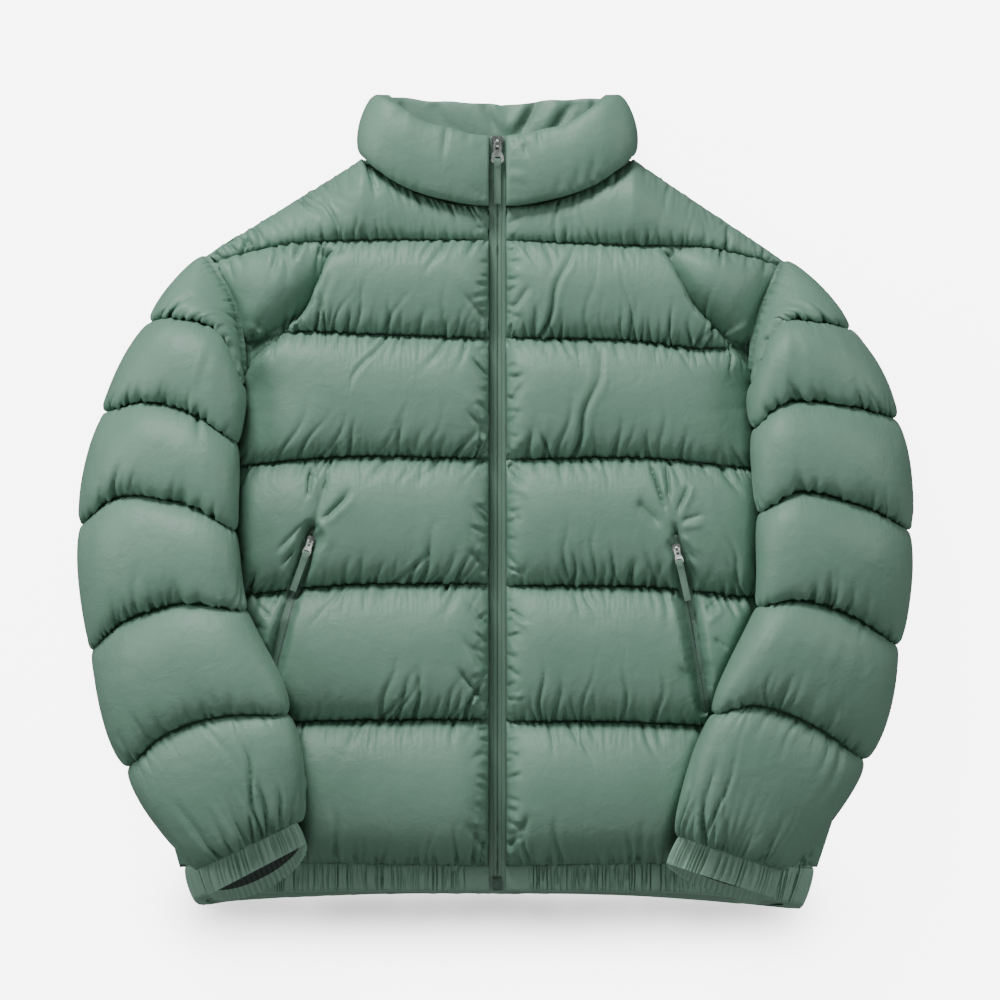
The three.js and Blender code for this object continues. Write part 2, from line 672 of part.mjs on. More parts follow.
// The first section narrows to nothing at the armpit, so its puff does too.
const topShare = (side, at, across) => (at < 1 ? 1 - 0.85 * clamp((across - 0.45) / 0.5, 0, 1) : 1);

function makeSleeve(side) {
  const angles = [];
  for (let i = 0; i < SLEEVE_TOP_STEPS; i++) angles.push((Math.PI * i) / SLEEVE_TOP_STEPS);
  for (let i = 0; i < SLEEVE_UNDER_STEPS; i++) angles.push(Math.PI + (Math.PI * i) / SLEEVE_UNDER_STEPS);
  const outer = sectionRows(() => ROWS_PER_SECTION).map(([k, t]) =>
    angles.map((a) => sleeveRing(side, k + t, a)),
  );
  const inner = SLEEVE_STATIONS.map((at) => {
    const open = lerp(1.2, 8.5, clamp(at - 5, 0, 1) ** 1.5);
    const inset = lerp(0.2, 0.07, clamp(at - 5, 0, 1));
    const ring = [];
    for (const sign of [1, -1]) {
      for (let i = 0; i < 5; i++) {
        const across = sign > 0 ? lerp(inset, 1 - inset, i / 5) : lerp(1 - inset, inset, i / 5);
        const angle = Math.acos(1 - 2 * across);
        const above = sleeveRing(side, at, angle, false);
        const below = sleeveRing(side, at, -angle, false);
        const middle = lerp(below.z, above.z, 0.46);
        const gape = open * Math.sin((Math.PI * i) / 5);
        const plan = above.clone().lerp(below, 0.5);
        ring.push(new THREE.Vector3(plan.x, plan.y, middle + sign * gape));
      }
    }
    return ring;
  });
  return tube(outer, inner);
}

// A ring's point, with the armhole's ring moved off the body's edge.
function sleeveRing(side, at, angle, puffed = true) {
  const p = sleevePoint(side, at, angle, puffed);
  if (at < 1) p.x += SIDES[side] * ARMHOLE_GAP * (1 - at);
  return p;
}

// A cuff: the sleeve's last ring run on along the arm, with gathers round it.
function makeCuff(side) {
  const cuff = CUFFS[side];
  const last = SLEEVE_SEAMS[side].length - 1;
  const { plan } = SLEEVE_SEAMS[side][last];
  const width = Math.hypot(plan[0][0] - plan[3][0], plan[0][1] - plan[3][1]);
  const along = { out: (plan[0][0] - plan[3][0]) / width, y: (plan[0][1] - plan[3][1]) / width };
  const ringPoint = (v, angle, inset) => {
    const base = sleevePoint(side, last, angle, false);
    const across = (1 - Math.cos(angle)) / 2;
    const under = angle > Math.PI ? Math.abs(Math.sin(angle)) * v : 0;
    const runOut = lerp(cuff.outerRun[0], cuff.innerRun[0], across) * v + cuff.under[0] * under;
    const runY = lerp(cuff.outerRun[1], cuff.innerRun[1], across) * v + cuff.under[1] * under;
    const spread = (1.5 * v - inset) * Math.cos(angle);
    const gape = (4 * v - inset) * Math.sin(angle);
    const fall = 8 * v;
    return new THREE.Vector3(
      base.x + SIDES[side] * (runOut + spread * along.out),
      base.y + runY + spread * along.y - SEAM_GAP - 0.1,
      base.z + gape - fall,
    );
  };
  const steps = CUFF_GATHERS * 2;
  const outer = [0, 0.25, 0.75, 1].map((v) => {
    const ring = [];
    for (let i = 0; i < steps; i++) {
      const wave = i % 2 === 0 ? GATHER_DEPTH : 0;
      ring.push(ringPoint(v, (2 * Math.PI * i) / steps, 1.2 + wave));
    }
    return ring;
  });
  const inner = [0, 1].map((v) => {
    const ring = [];
    for (let i = 0; i < 24; i++) ring.push(ringPoint(v, (2 * Math.PI * i) / 24, 1.2 + CUFF_WALL));
    return ring;
  });
  return tube(outer, inner);
}

// Collar: one padded strip round the neck, both halves alike.
function makeCollar() {
  const stations = [];
  const perSpan = 3;
  const last = COLLAR.length - 1;
  const read = (get, at) => smoothAt(COLLAR.map(get), at);
  const sample = (side, at) => {
    const foot = point(side, read((r) => r.foot[0], at), read((r) => r.foot[1], at), 0);
    const top = point(side, read((r) => r.top[0], at), read((r) => r.top[1], at), 0);
    return { foot, top, z: read((r) => r.z, at), half: read((r) => r.half, at) };
  };
  for (let i = 0; i <= last * perSpan; i++) stations.push(["right", i / perSpan]);
  for (let i = last * perSpan - 1; i >= 0; i--) stations.push(["left", i / perSpan]);
  const heights = [0, 0.08, 0.28, 0.5, 0.72, 0.92, 1];
  const layer = (outside, list, rows) =>
    rows.map((h) =>
      list.map(([side, at]) => {
        const here = sample(side, at);
        const before = sample(side, Math.max(0, at - 0.3));
        const after = sample(side, Math.min(last, at + 0.3));
        const middle = here.foot.clone().lerp(here.top, h);
        const outward = SIDES[side] * (after.z - before.z) * -1;
        const along = Math.abs(after.foot.x - before.foot.x) || 1e-6;
        const turn = Math.abs(after.z - before.z) < 0.5 ? 0 : 1;
        const direction = new THREE.Vector3(
          turn * outward,
          0,
          Math.sign((after.foot.x - before.foot.x) * SIDES[side] || -1) * along,
        ).normalize();
        if (at === last) direction.set(0, 0, -1);
        const round = COLLAR_EDGE_SHARE + (1 - COLLAR_EDGE_SHARE) * Math.pow(Math.sin(Math.PI * h), 0.6);
        const reach = outside ? here.half * round : -here.half * 0.72 * lerp(round, 1, 0.5);
        const p = middle.addScaledVector(direction, reach);
        p.z += here.z;
        p.z = Math.max(p.z, 0);
        return p;
      }),
    );
  const plain = stations.filter((s, i) => i % perSpan === 0 || Math.abs(s[1] - 6) < 1.7);
  return wall(layer(true, stations, heights), layer(false, plain, [0, 0.5, 1]));
}

// Hem band: one gathered strip round the hem; its gathers fade where it rests on the surface.
function makeHemBand() {
  const last = HEM_BAND.right.length - 1;
  const runs = ["right", "left"].map((side) => {
    const table = HEM_BAND[side];
    const at = (i) => point(side, table[i].seam[0], table[i].seam[1], table[i].seamZ);
    const lengths = [0];
    for (let i = 1; i <= last; i++) lengths.push(lengths[i - 1] + at(i).distanceTo(at(i - 1)));
    return { side, table, lengths };
  });
  const sample = (run, distance) => {
    let i = 1;
    while (i < last && run.lengths[i] < distance) i++;
    const f = i - 1 + (distance - run.lengths[i - 1]) / (run.lengths[i] - run.lengths[i - 1]);
    const read = (get) => smoothAt(run.table.map(get), f);
    return {
      f,
      seam: point(run.side, read((r) => r.seam[0]), read((r) => r.seam[1]), read((r) => r.seamZ)),
      edge: point(run.side, read((r) => r.edge[0]), read((r) => r.edge[1]), read((r) => r.edgeZ)),
      across: read((r) => r.seam[0]),
    };
  };
  // Stations from the zip round to the middle of the back: close on the front, wide where it rests.
  const half = (run, close) => {
    const turned = run.lengths[HEM_TURNED];
    const list = [];
    const count = 2 * Math.round(turned / close / 2);
    for (let i = 0; i < count; i++) list.push([run, (turned * i) / count, i]);
    const wide = 8;
    for (let i = 0; i <= wide; i++) list.push([run, lerp(turned, run.lengths[last], i / wide), 0]);
    return list;
  };
  const stations = (close) => {
    const right = half(runs[0], close);
    const left = half(runs[1], close).reverse().slice(1);
    return [...right, ...left];
  };
  const layer = (outside, list, rows) =>
    rows.map((h) =>
      list.map(([run, distance, i]) => {
        const here = sample(run, distance);
        const a = sample(run, Math.max(0, distance - 4));
        const b = sample(run, Math.min(run.lengths[last], distance + 4));
        const alongX = (b.seam.x - a.seam.x) * SIDES[run.side];
        const alongZ = b.seam.z - a.seam.z;
        const normal = new THREE.Vector3(-alongZ * SIDES[run.side], 0, alongX).normalize();
        const wave = distance > 16 && i % 2 === 1 ? GATHER_DEPTH : 0;
        const reach = outside ? HEM_WALL / 2 - wave : -HEM_WALL / 2;
        const p = here.seam.clone().lerp(here.edge, h).addScaledVector(normal, reach);
        p.z = Math.max(p.z, 0);
        return p;
      }),
    );
  const gathered = layer(true, stations(HEM_GATHER_PITCH / 2), [0, 0.15, 0.85, 1]);
  return wall(gathered, layer(false, stations(30), [0, 1]));
}

// Half of the front zip: a thin tape with the covered coil along its inner edge.
function makeTape(side) {
  const section = [
    [0.15, -COIL_THICK / 2],
    [COIL_OUT, -COIL_THICK / 2],
    [COIL_OUT + 0.5, -TAPE_THICK / 2],
    [TAPE_OUT, -TAPE_THICK / 2],
    [TAPE_OUT, TAPE_THICK / 2],
    [COIL_OUT + 0.5, TAPE_THICK / 2],
    [COIL_OUT, COIL_THICK / 2],
    [0.15, COIL_THICK / 2 - 0.5],
  ];
  const rings = ZIP_PATH.map((row) => section.map(([out, up]) => point(side, out, row.y, row.z + up)));
  const list = [];
  addGrid(list, rings.map((r) => [...r, r[0]]), false);
  const fan = (ring, turned) => {
    const shape = new THREE.Shape(section.map(([a, b]) => new THREE.Vector2(a, b)));
    for (const [a, b, c] of THREE.ShapeUtils.triangulateShape(shape.getPoints(), [])) {
      list.push(turned ? [ring[a], ring[c], ring[b]] : [ring[a], ring[b], ring[c]]);
    }
  };
  const clockwise = THREE.ShapeUtils.isClockWise(section.map(([a, b]) => new THREE.Vector2(a, b)));
  fan(rings[0], clockwise);
  fan(rings[rings.length - 1], !clockwise);
  return bodyFrom(list);
}

// Solids for joining and cutting.
function solidOf(geometry) {
  const plain = new THREE.BufferGeometry();
  const source = geometry.index ? geometry.toNonIndexed() : geometry;
  plain.setAttribute("position", source.getAttribute("position").clone());
  const merged = mergeVertices(plain, 1e-3);
  return new wasm.Manifold(
    new wasm.Mesh({
      numProp: 3,
      vertProperties: new Float32Array(merged.attributes.position.array),
      triVerts: new Uint32Array(merged.index.array),
    }),
  );
}

function geometryOf(solid) {
  const mesh = solid.getMesh();
  const geometry = new THREE.BufferGeometry();
  geometry.setAttribute("position", new THREE.BufferAttribute(new Float32Array(mesh.vertProperties), 3));
  geometry.setIndex(new THREE.BufferAttribute(new Uint32Array(mesh.triVerts), 1));
  return geometry;
}

// A plate with round ends and straight sides, lying flat: x across, y along, z up.
function plateShape(points) {
  return new THREE.Shape(points.map(([x, y]) => new THREE.Vector2(x, y)));
}

function extruded(shape, depth) {
  return new THREE.ExtrudeGeometry(shape, { depth, bevelEnabled: false, curveSegments: 5 });
}

// A slider: a waisted plate that tapers to its tail, with a holed bridge standing on it.
function makeSlider(size) {
  const { long, wide, thick } = size.slider;
  const outline = plateShape([
    [-wide * 0.36, long / 2],
    [-wide * 0.5, long * 0.34],
    [-wide * 0.46, 0],
    [-wide * 0.36, -long / 2],
    [wide * 0.36, -long / 2],
    [wide * 0.46, 0],
    [wide * 0.5, long * 0.34],
    [wide * 0.36, long / 2],
  ]);
  const plate = extruded(outline, thick);
  const { long: run, wide: across, high, hole } = size.bridge;
  const side = new THREE.Shape();
  side.moveTo(-run / 2, -0.5);
  side.lineTo(run / 2, -0.5);
  side.lineTo(run / 2, high * 0.45);
  side.quadraticCurveTo(run / 2, high, 0, high);
  side.quadraticCurveTo(-run / 2, high, -run / 2, high * 0.45);
  const eye = new THREE.Path();
  eye.absarc(0, high * 0.52, hole, 0, Math.PI * 2, true);
  side.holes.push(eye);
  const bridge = extruded(side, across);
  bridge.rotateX(Math.PI / 2);
  bridge.rotateZ(Math.PI / 2);
  bridge.translate(-across / 2, 0, thick);
  return geometryOf(solidOf(plate).add(solidOf(bridge)));
}

// A pull plate: two arms and a pin through the bridge's hole, a bell below with a slot for the strap.
function makePull(size) {
  const { long, wide, neck, thick } = size.plate;
  const armGap = size.bridge.wide / 2 + PIN_CLEARANCE;
  const pinRadius = size.bridge.hole - PIN_CLEARANCE;
  const bell = new THREE.Shape();
  const top = size.bridge.hole + 0.9;
  bell.moveTo(-neck / 2, top);
  bell.lineTo(-neck / 2, -long * 0.42);
  bell.quadraticCurveTo(-wide / 2, -long * 0.6, -wide / 2, -long * 0.82);
  bell.quadraticCurveTo(-wide / 2, -long, -wide * 0.3, -long);
  bell.lineTo(wide * 0.3, -long);
  bell.quadraticCurveTo(wide / 2, -long, wide / 2, -long * 0.82);
  bell.quadraticCurveTo(wide / 2, -long * 0.6, neck / 2, -long * 0.42);
  bell.lineTo(neck / 2, top);
  bell.lineTo(armGap, top);
  bell.lineTo(armGap, -size.bridge.long / 2 - 0.9);
  bell.lineTo(-armGap, -size.bridge.long / 2 - 0.9);
  bell.lineTo(-armGap, top);
  const slot = new THREE.Path();
  const slotTop = -long * 0.66;
  const slotLow = -long * 0.86;
  const slotOut = size.strap.wide / 2 - 0.4;
  slot.moveTo(-slotOut, slotLow);
  slot.quadraticCurveTo(-slotOut, slotTop, 0, slotTop);
  slot.quadraticCurveTo(slotOut, slotTop, slotOut, slotLow);
  bell.holes.push(slot);
  const plate = extruded(bell, thick);
  plate.translate(0, 0, -thick / 2);
  const pin = new THREE.CylinderGeometry(pinRadius, pinRadius, armGap * 2 + 0.8, 8);
  pin.rotateZ(Math.PI / 2);
  return geometryOf(solidOf(plate).add(solidOf(pin)));
}

// The strap: folded through the slot and stitched, so a loop round the plate's lower bar.
function makeStrap(size) {
  const { long, thick } = size.plate;
  const strap = size.strap;
  const wide = strap.wide - 1.6;
  const bar = { top: -long * 0.86 + PIN_CLEARANCE, low: -long - PIN_CLEARANCE };
  const inside = thick / 2 + PIN_CLEARANCE;
  const band = new THREE.Shape();
  const ply = strap.thick / 2;
  band.moveTo(bar.top + ply, -inside - ply);
  band.lineTo(bar.top + ply, inside + ply);
  band.lineTo(bar.low - 2, inside + ply);
  band.lineTo(bar.low - 6, ply);
  band.lineTo(bar.low - strap.long, ply);
  band.lineTo(bar.low - strap.long, -ply);
  band.lineTo(bar.low - 6, -ply);
  band.lineTo(bar.low - 2, -inside - ply);
  const hollow = new THREE.Path();
  hollow.moveTo(bar.top, -inside);
  hollow.lineTo(bar.low, -inside);
  hollow.lineTo(bar.low, inside);
  hollow.lineTo(bar.top, inside);
  band.holes.push(hollow);
  const geometry = extruded(band, wide);
  geometry.rotateX(Math.PI / 2);
  geometry.rotateZ(Math.PI / 2);
  geometry.translate(-wide / 2, 0, 0);
  return geometry;
}

// Places one zip's slider, pull and strap: at a point, turned and tilted with what it lies on.
function zipFittings(name, size, place, turn, tilt, pullTilt) {
  const group = new THREE.Group();
  group.position.copy(place);
  group.rotation.order = "ZXY";
  group.rotation.z = turn;
  group.rotation.x = tilt;
  group.add(named(`slider_${name}`, makeSlider(size), METAL_COLOUR, 1));
  const hinge = new THREE.Group();
  hinge.position.z = size.slider.thick + size.bridge.high * 0.52;
  hinge.rotation.x = pullTilt;
  hinge.add(named(`pull_${name}`, makePull(size), METAL_COLOUR, 1));
  hinge.add(named(`strap_${name}`, makeStrap(size), DARK_COLOUR));
  group.add(hinge);
  return group;
}

// A pocket's covered zip: a strip along its opening, resting on the front.
function makePocketZip(side, front) {
  const path = new THREE.CatmullRomCurve3(POCKETS[side].map(([out, y]) => point(side, out, y, 0)));
  const rings = [];
  const steps = 14;
  for (let i = 0; i <= steps; i++) {
    const p = path.getPointAt(i / steps);
    const along = path.getTangentAt(i / steps);
    const across = new THREE.Vector3(-along.y, along.x, 0).multiplyScalar(POCKET_WIDE / 2);
    const taper = Math.min(1, 0.55 + 4 * Math.min(i / steps, 1 - i / steps));
    rings.push([p.clone().addScaledVector(across, taper), p, p.clone().addScaledVector(across, -taper)]);
  }
  const height = heightOver(front);
  const over = (lifts) =>
    rings.map((ring) => ring.map((q, j) => new THREE.Vector3(q.x, q.y, height(q) + lifts[j])));
  const upper = over([POCKET_THICK, POCKET_THICK + POCKET_RIDGE, POCKET_THICK]);
  const lower = over([-POCKET_SUNK, -POCKET_SUNK, -POCKET_SUNK]);
  const lifted = solidOf(front).translate(0, 0, SEAM_GAP);
  const pieces = solidOf(wall(upper, lower)).subtract(lifted).decompose();
  pieces.sort((a, b) => b.volume() - a.volume());
  return geometryOf(pieces[0]);
}

// Height of a piece's upper face over a place.
function heightOver(geometry) {
  const mesh = new THREE.Mesh(geometry, new THREE.MeshBasicMaterial({ side: THREE.DoubleSide }));
  const ray = new THREE.Raycaster();
  const down = new THREE.Vector3(0, 0, -1);
  return (p) => {
    ray.set(new THREE.Vector3(p.x, p.y, 500), down);
    const hits = ray.intersectObject(mesh);
    return hits.length ? hits[0].point.z : MID_LEVEL;
  };
}

// The front zip's slider stands at the top of the tapes, its pull hanging down over them.
function frontFittings() {
  const y = ZIP_TOP_Y - 1 - FRONT_PULL.slider.long / 2;
  const z = readTable(ZIP_PATH, "y", y, "z") + COIL_THICK / 2 + SEAM_GAP;
  return zipFittings("front", FRONT_PULL, new THREE.Vector3(0, y, z), 0, 0.02, FRONT_PULL_TILT);
}

// A pocket's slider lies at the top of its strip, turned along it.
function pocketFittings(side, pocket) {
  const path = POCKETS[side];
  const [top, low] = [path[0], path[2]];
  const run = Math.hypot(low[0] - top[0], low[1] - top[1]);
  const f = POCKET_SLIDER_DOWN / run;
  const out = lerp(top[0], low[0], f);
  const y = lerp(top[1], low[1], f);
  const height = heightOver(pocket);
  const half = POCKET_PULL.slider.long / 2;
  const step = [(low[0] - top[0]) / run, (low[1] - top[1]) / run];
  let z = 0;
  for (const share of [-1, -0.5, 0, 0.5, 1]) {
    for (const aside of [-0.5, 0, 0.5]) {
      const wide = POCKET_PULL.slider.wide * aside;
      const atOut = out + step[0] * half * share - step[1] * wide;
      const atY = y + step[1] * half * share + step[0] * wide;
      z = Math.max(z, height(point(side, atOut, atY, 0)));
    }
  }
  const turn = Math.atan2(step[0] * SIDES[side], -step[1]);
  const place = point(side, out, y, z + SEAM_GAP);
  return zipFittings(`pocket_${side}`, POCKET_PULL, place, turn, 0, POCKET_PULL_TILT[side]);
}

// The bottom stop, a small box clamped over both tapes' ends.
function makeZipStop() {
  const { wide, long, thick } = ZIP_STOP;
  const block = new THREE.BoxGeometry(wide, long, thick);
  const y = ZIP_BOTTOM_Y + long / 2 + 0.5;
  const z = readTable(ZIP_PATH, "y", y + long / 2, "z") + COIL_THICK / 2 + thick / 2 + SEAM_GAP;
  block.translate(0, y, z);
  return block;
}

// Trims a piece back from a neighbour that is moved towards it by the seam's gap.
function trimmed(geometry, neighbours) {
  let solid = solidOf(geometry);
  for (const { shape, towards } of neighbours) {
    solid = solid.subtract(solidOf(shape).translate(...towards.map((v) => v * TRIM_GAP)));
  }
  const pieces = solid.decompose().sort((p, q) => q.volume() - p.volume());
  return geometryOf(pieces[0]);
}

const jacket = new THREE.Group();
jacket.name = "jacket";
const laidOn = [];
for (const side of ["right", "left"]) {
  const sleeve = makeSleeve(side);
  const besideSleeve = [
    { shape: sleeve, towards: [-SIDES[side], 0, 0] },
    { shape: sleeve, towards: [0, 0, -1] },
    { shape: sleeve, towards: [0, -1, 0] },
  ];
  const front = trimmed(makeFront(side), besideSleeve);
  laidOn.push({ shape: front, towards: [0, 0, -1] }, { shape: front, towards: [0, -1, 0] }, ...besideSleeve);
  jacket.add(named(`front_${side}`, front));
  jacket.add(named(`sleeve_${side}`, sleeve));
  jacket.add(named(`cuff_${side}`, makeCuff(side), DARK_COLOUR));
  jacket.add(named(`zip_tape_${side}`, makeTape(side), DARK_COLOUR));
  const pocket = makePocketZip(side, front);
  jacket.add(named(`pocket_zip_${side}`, pocket, DARK_COLOUR));
  jacket.add(pocketFittings(side, pocket));
}
jacket.add(named("back", trimmed(makeBack(), laidOn)));
jacket.add(frontFittings());
jacket.add(named("zip_stop", makeZipStop(), METAL_COLOUR, 1));
jacket.add(named("collar", makeCollar()));
jacket.add(named("hem_band", makeHemBand(), DARK_COLOUR));

// The origin: the middle of the jacket's plan, on the surface that it lies on.
const bounds = new THREE.Box3().setFromObject(jacket);
const middle = bounds.getCenter(new THREE.Vector3());
jacket.position.set(-middle.x, -middle.y, -bounds.min.z);
const part = new THREE.Group();
part.add(jacket);

export default part;
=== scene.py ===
# %% [markdown]
# The jacket's solids were modelled first, in millimetres, and they come in here through the frame. They give
# the size and the place of every piece. Each finer piece made below takes the place of one of them, in the
# same position, so that the physics model and the pictures stay one object.

# %% Load the frame
import json
import math

import bmesh
import bpy
import numpy as np
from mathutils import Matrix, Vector
from mathutils.bvhtree import BVHTree

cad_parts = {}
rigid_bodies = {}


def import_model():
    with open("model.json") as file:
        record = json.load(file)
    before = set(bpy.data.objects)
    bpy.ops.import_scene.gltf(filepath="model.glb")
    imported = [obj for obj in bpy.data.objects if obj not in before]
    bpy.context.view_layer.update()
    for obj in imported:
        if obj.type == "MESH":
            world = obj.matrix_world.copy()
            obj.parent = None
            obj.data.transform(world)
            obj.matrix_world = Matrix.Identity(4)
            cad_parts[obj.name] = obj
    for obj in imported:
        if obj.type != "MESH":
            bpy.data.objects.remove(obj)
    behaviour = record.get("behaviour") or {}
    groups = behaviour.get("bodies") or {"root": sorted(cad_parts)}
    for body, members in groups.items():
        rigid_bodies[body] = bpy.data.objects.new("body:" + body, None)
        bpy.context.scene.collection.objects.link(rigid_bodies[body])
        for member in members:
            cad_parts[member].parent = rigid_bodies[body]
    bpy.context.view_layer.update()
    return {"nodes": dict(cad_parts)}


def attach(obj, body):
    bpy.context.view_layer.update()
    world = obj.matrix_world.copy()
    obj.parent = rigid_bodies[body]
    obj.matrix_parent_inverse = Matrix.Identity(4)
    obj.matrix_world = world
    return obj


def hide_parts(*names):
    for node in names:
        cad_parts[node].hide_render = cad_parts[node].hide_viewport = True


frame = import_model()

# %% [markdown]
# The jacket lies flat and is seen straight from above through a long lens. With a long lens near and far
# parts keep the same size, so one picture pixel is 0.95 mm everywhere and places read off the picture can be
# used as they are. A short lens would have needed a correction for height.

# %% Camera over the jacket
MM = 0.001
MIDDLE = np.array([2.4139, 0.8778, 0.0])
PHOTO_CENTRE = (2.4, 2.4)
VIEW_WIDTH = 950.0
LENS = 200.0
SENSOR = 36.0
FOCUS_HEIGHT = 45.0

camera_data = bpy.data.cameras.new("camera")
camera_data.lens = LENS
camera_data.sensor_width = SENSOR
camera = bpy.data.objects.new("camera", camera_data)
bpy.context.collection.objects.link(camera)
camera_up = VIEW_WIDTH * LENS / SENSOR + FOCUS_HEIGHT
camera.location = [
    (PHOTO_CENTRE[0] + MIDDLE[0]) * MM,
    (PHOTO_CENTRE[1] + MIDDLE[1]) * MM,
    camera_up * MM,
]
camera_data.clip_end = 50
bpy.context.scene.camera = camera
print("camera height, m", round(camera.location.z, 3))

# %% [markdown]
# A quilted jacket is a few panels sewn together, with cross seams that split each one into filled sections.
# The tables below say where those seams and edges lie: sides are the wearer's, x grows away from the zip,
# y grows towards the collar. The strong folds at the chest and the pockets are placed one by one, as line
# segments with a width and a depth, because a random fold never falls where the real one does.

# %% Numbers of the cut
SIDES = {"right": -1, "left": 1}
MID_LEVEL, SIDE_LEVEL, SHOULDER_LEVEL, ARMPIT_LEVEL = 39, 16, 20, 30
FRONT_HEM_LEVEL = 27
SEAM_WALL, EDGE_WALL = 9, 3.5
ZIP_EDGE, NECK_OUT, NECK_FRONT_Y, NECK_CORNER_Y, NECK_BACK_Y = 8.3, 129, 280, 327, 320
HEM_SEAM_Y = -345
CORNER_U = 0.44

# Heights of the seams across a front, at the zip, below the neck's corner, halfway on, at the side.
FRONT_SEAMS = {
    "right": [(249, 249, 245, 229), (156, 160, 162, 152), (42, 44, 39, 30),
              (-77, -77, -85, -95), (-205, -206, -209, -214), (-345, -343, -342, -346)],
    "left": [(249, 244, 242, 226), (157, 154, 147, 148), (41, 43, 36, 27),
             (-79, -79, -88, -100), (-207, -208, -214, -219), (-345, -343, -342, -347)],
}
ARMHOLE = {
    "right": dict(tip=235, pit=121, outs=[278, 254, 245, 242]),
    "left": dict(tip=230, pit=124, outs=[273, 254, 245, 242]),
}
# The side seam below the armpit: y, out.
SIDE_EDGE = {
    "right": [(121, 242), (69, 262), (40, 278), (-17, 292), (-93, 309), (-188, 325), (-254, 325),
              (-302, 317), (-346, 304)],
    "left": [(124, 242), (69, 266), (31, 284), (-17, 300), (-93, 319), (-178, 341), (-226, 341),
             (-292, 324), (-347, 306)],
}
# Deep folds in a front: from out, y, to out, y, width towards the zip, width away from it, depth at both
# ends.
FRONT_LAPS = {
    "right": [(156, 229, 174, 186, 2.6, 40, 20, 34), (174, 186, 206, 152, 2.6, 42, 34, 36),
              (206, 152, 240, 122, 4, 32, 34, 36), (174, -24, 190, -84, 10, 9, 10, 16),
              (190, -84, 209, -150, 7, 13, 16, 20), (209, -150, 206, -190, 7, 12, 20, 4)],
    "left": [(158, 229, 178, 190, 2.6, 38, 18, 31), (178, 190, 208, 156, 2.6, 40, 31, 34),
             (208, 156, 240, 124, 4, 30, 32, 34), (168, -28, 184, -98, 9, 9, 10, 18),
             (184, -98, 192, -160, 9, 9, 18, 22), (192, -160, 203, -212, 9, 10, 22, 4)],
}
# Smaller creases in a front: from out, y, to out, y, width, height; a trough's height is negative.
FRONT_CREASES = {
    "right": [
        (174, -24, 158, 32, 7, -4),
        (179, 4, 176, 40, 2, -4), (173, 2, 171, 34, 2, 1.8), (167, -18, 134, 14, 2.7, -5),
        (163, -22, 130, 8, 3.1, 1.8), (165, 9, 158, 34, 2, -2.6), (176, -20, 212, -56, 2.7, 2.2),
        (180, -16, 214, -50, 2, -3), (186, -44, 207, -68, 2.3, 1.8), (184, -34, 208, -62, 1.9, -4),
        (168, -18, 154, -40, 2.7, 2.2), (176, -24, 196, -36, 2, -2), (12, -190, 42, -150, 2.7, -5),
        (9, -178, 36, -136, 3.4, 3), (10, -200, 30, -182, 2, 3), (11, -160, 38, -120, 2.7, -3.5),
        (10, -118, 34, -92, 2.7, -3), (10, -66, 30, -40, 2.7, -4), (9, -58, 26, -30, 2.7, 2.2),
        (10, -20, 24, 4, 2.7, -3), (9, 62, 32, 92, 2.7, -4), (9, 74, 34, 108, 2.7, 2.5),
        (9, 112, 26, 140, 2.7, -3),
        (9, 168, 36, 204, 2.7, -4), (9, 182, 36, 222, 3.4, 2.2), (9, -228, 30, -250, 2.7, -3),
        (10, -330, 34, -296, 2.7, -4), (9, -320, 30, -286, 2.7, 2.5), (214, -110, 232, -92, 2, -3),
        (216, -122, 236, -112, 2, -3), (212, -132, 228, -130, 2, 1.8),
    ],
    "left": [
        (143, 40, 161, -14, 2, -6), (151, 40, 163, -12, 2.3, 3), (160, 38, 162, -4, 1.9, -4.5),
        (181, 16, 167, -14, 2, -3.4), (186, 14, 171, -16, 2.2, 2.2), (172, -23, 200, -20, 2, 2.2),
        (172, -17, 198, -10, 1.9, -2.6), (173, -29, 197, -50, 2, 2.1), (174, -34, 190, -58, 1.9, -3.6),
        (130, 2, 158, -24, 5.4, -5), (9, 36, 24, 12, 2.3, -5), (10, 24, 34, 0, 2.7, 3),
        (9, -2, 26, -20, 2.7, -3), (9, 44, 30, 70, 2.7, 3), (10, 30, 22, 52, 2, -4), (9, -60, 22, -72, 2, 2.2),
        (10, -104, 34, -122, 2.3, 3), (9, -98, 30, -116, 2, -4), (9, -128, 22, -146, 2, 2.2),
        (9, -196, 28, -172, 2.3, 3), (10, 92, 30, 118, 2.7, -3), (9, 142, 28, 124, 2.7, 2.5),
        (10, 176, 36, 212, 2.7, -4), (9, 228, 26, 212, 2.7, 2.2), (186, -176, 168, -150, 3.4, -4.5),
        (9, -330, 34, -290, 2.7, -4), (9, -316, 30, -280, 2.7, 2.5), (196, -104, 214, -90, 2, -3),
        (198, -116, 216, -100, 2, 2.2), (204, -128, 220, -140, 2, -3),
    ],
}


def armhole_plan(side):
    a = ARMHOLE[side]
    return [(out, a["tip"] + (a["pit"] - a["tip"]) * i / 3) for i, out in enumerate(a["outs"])]


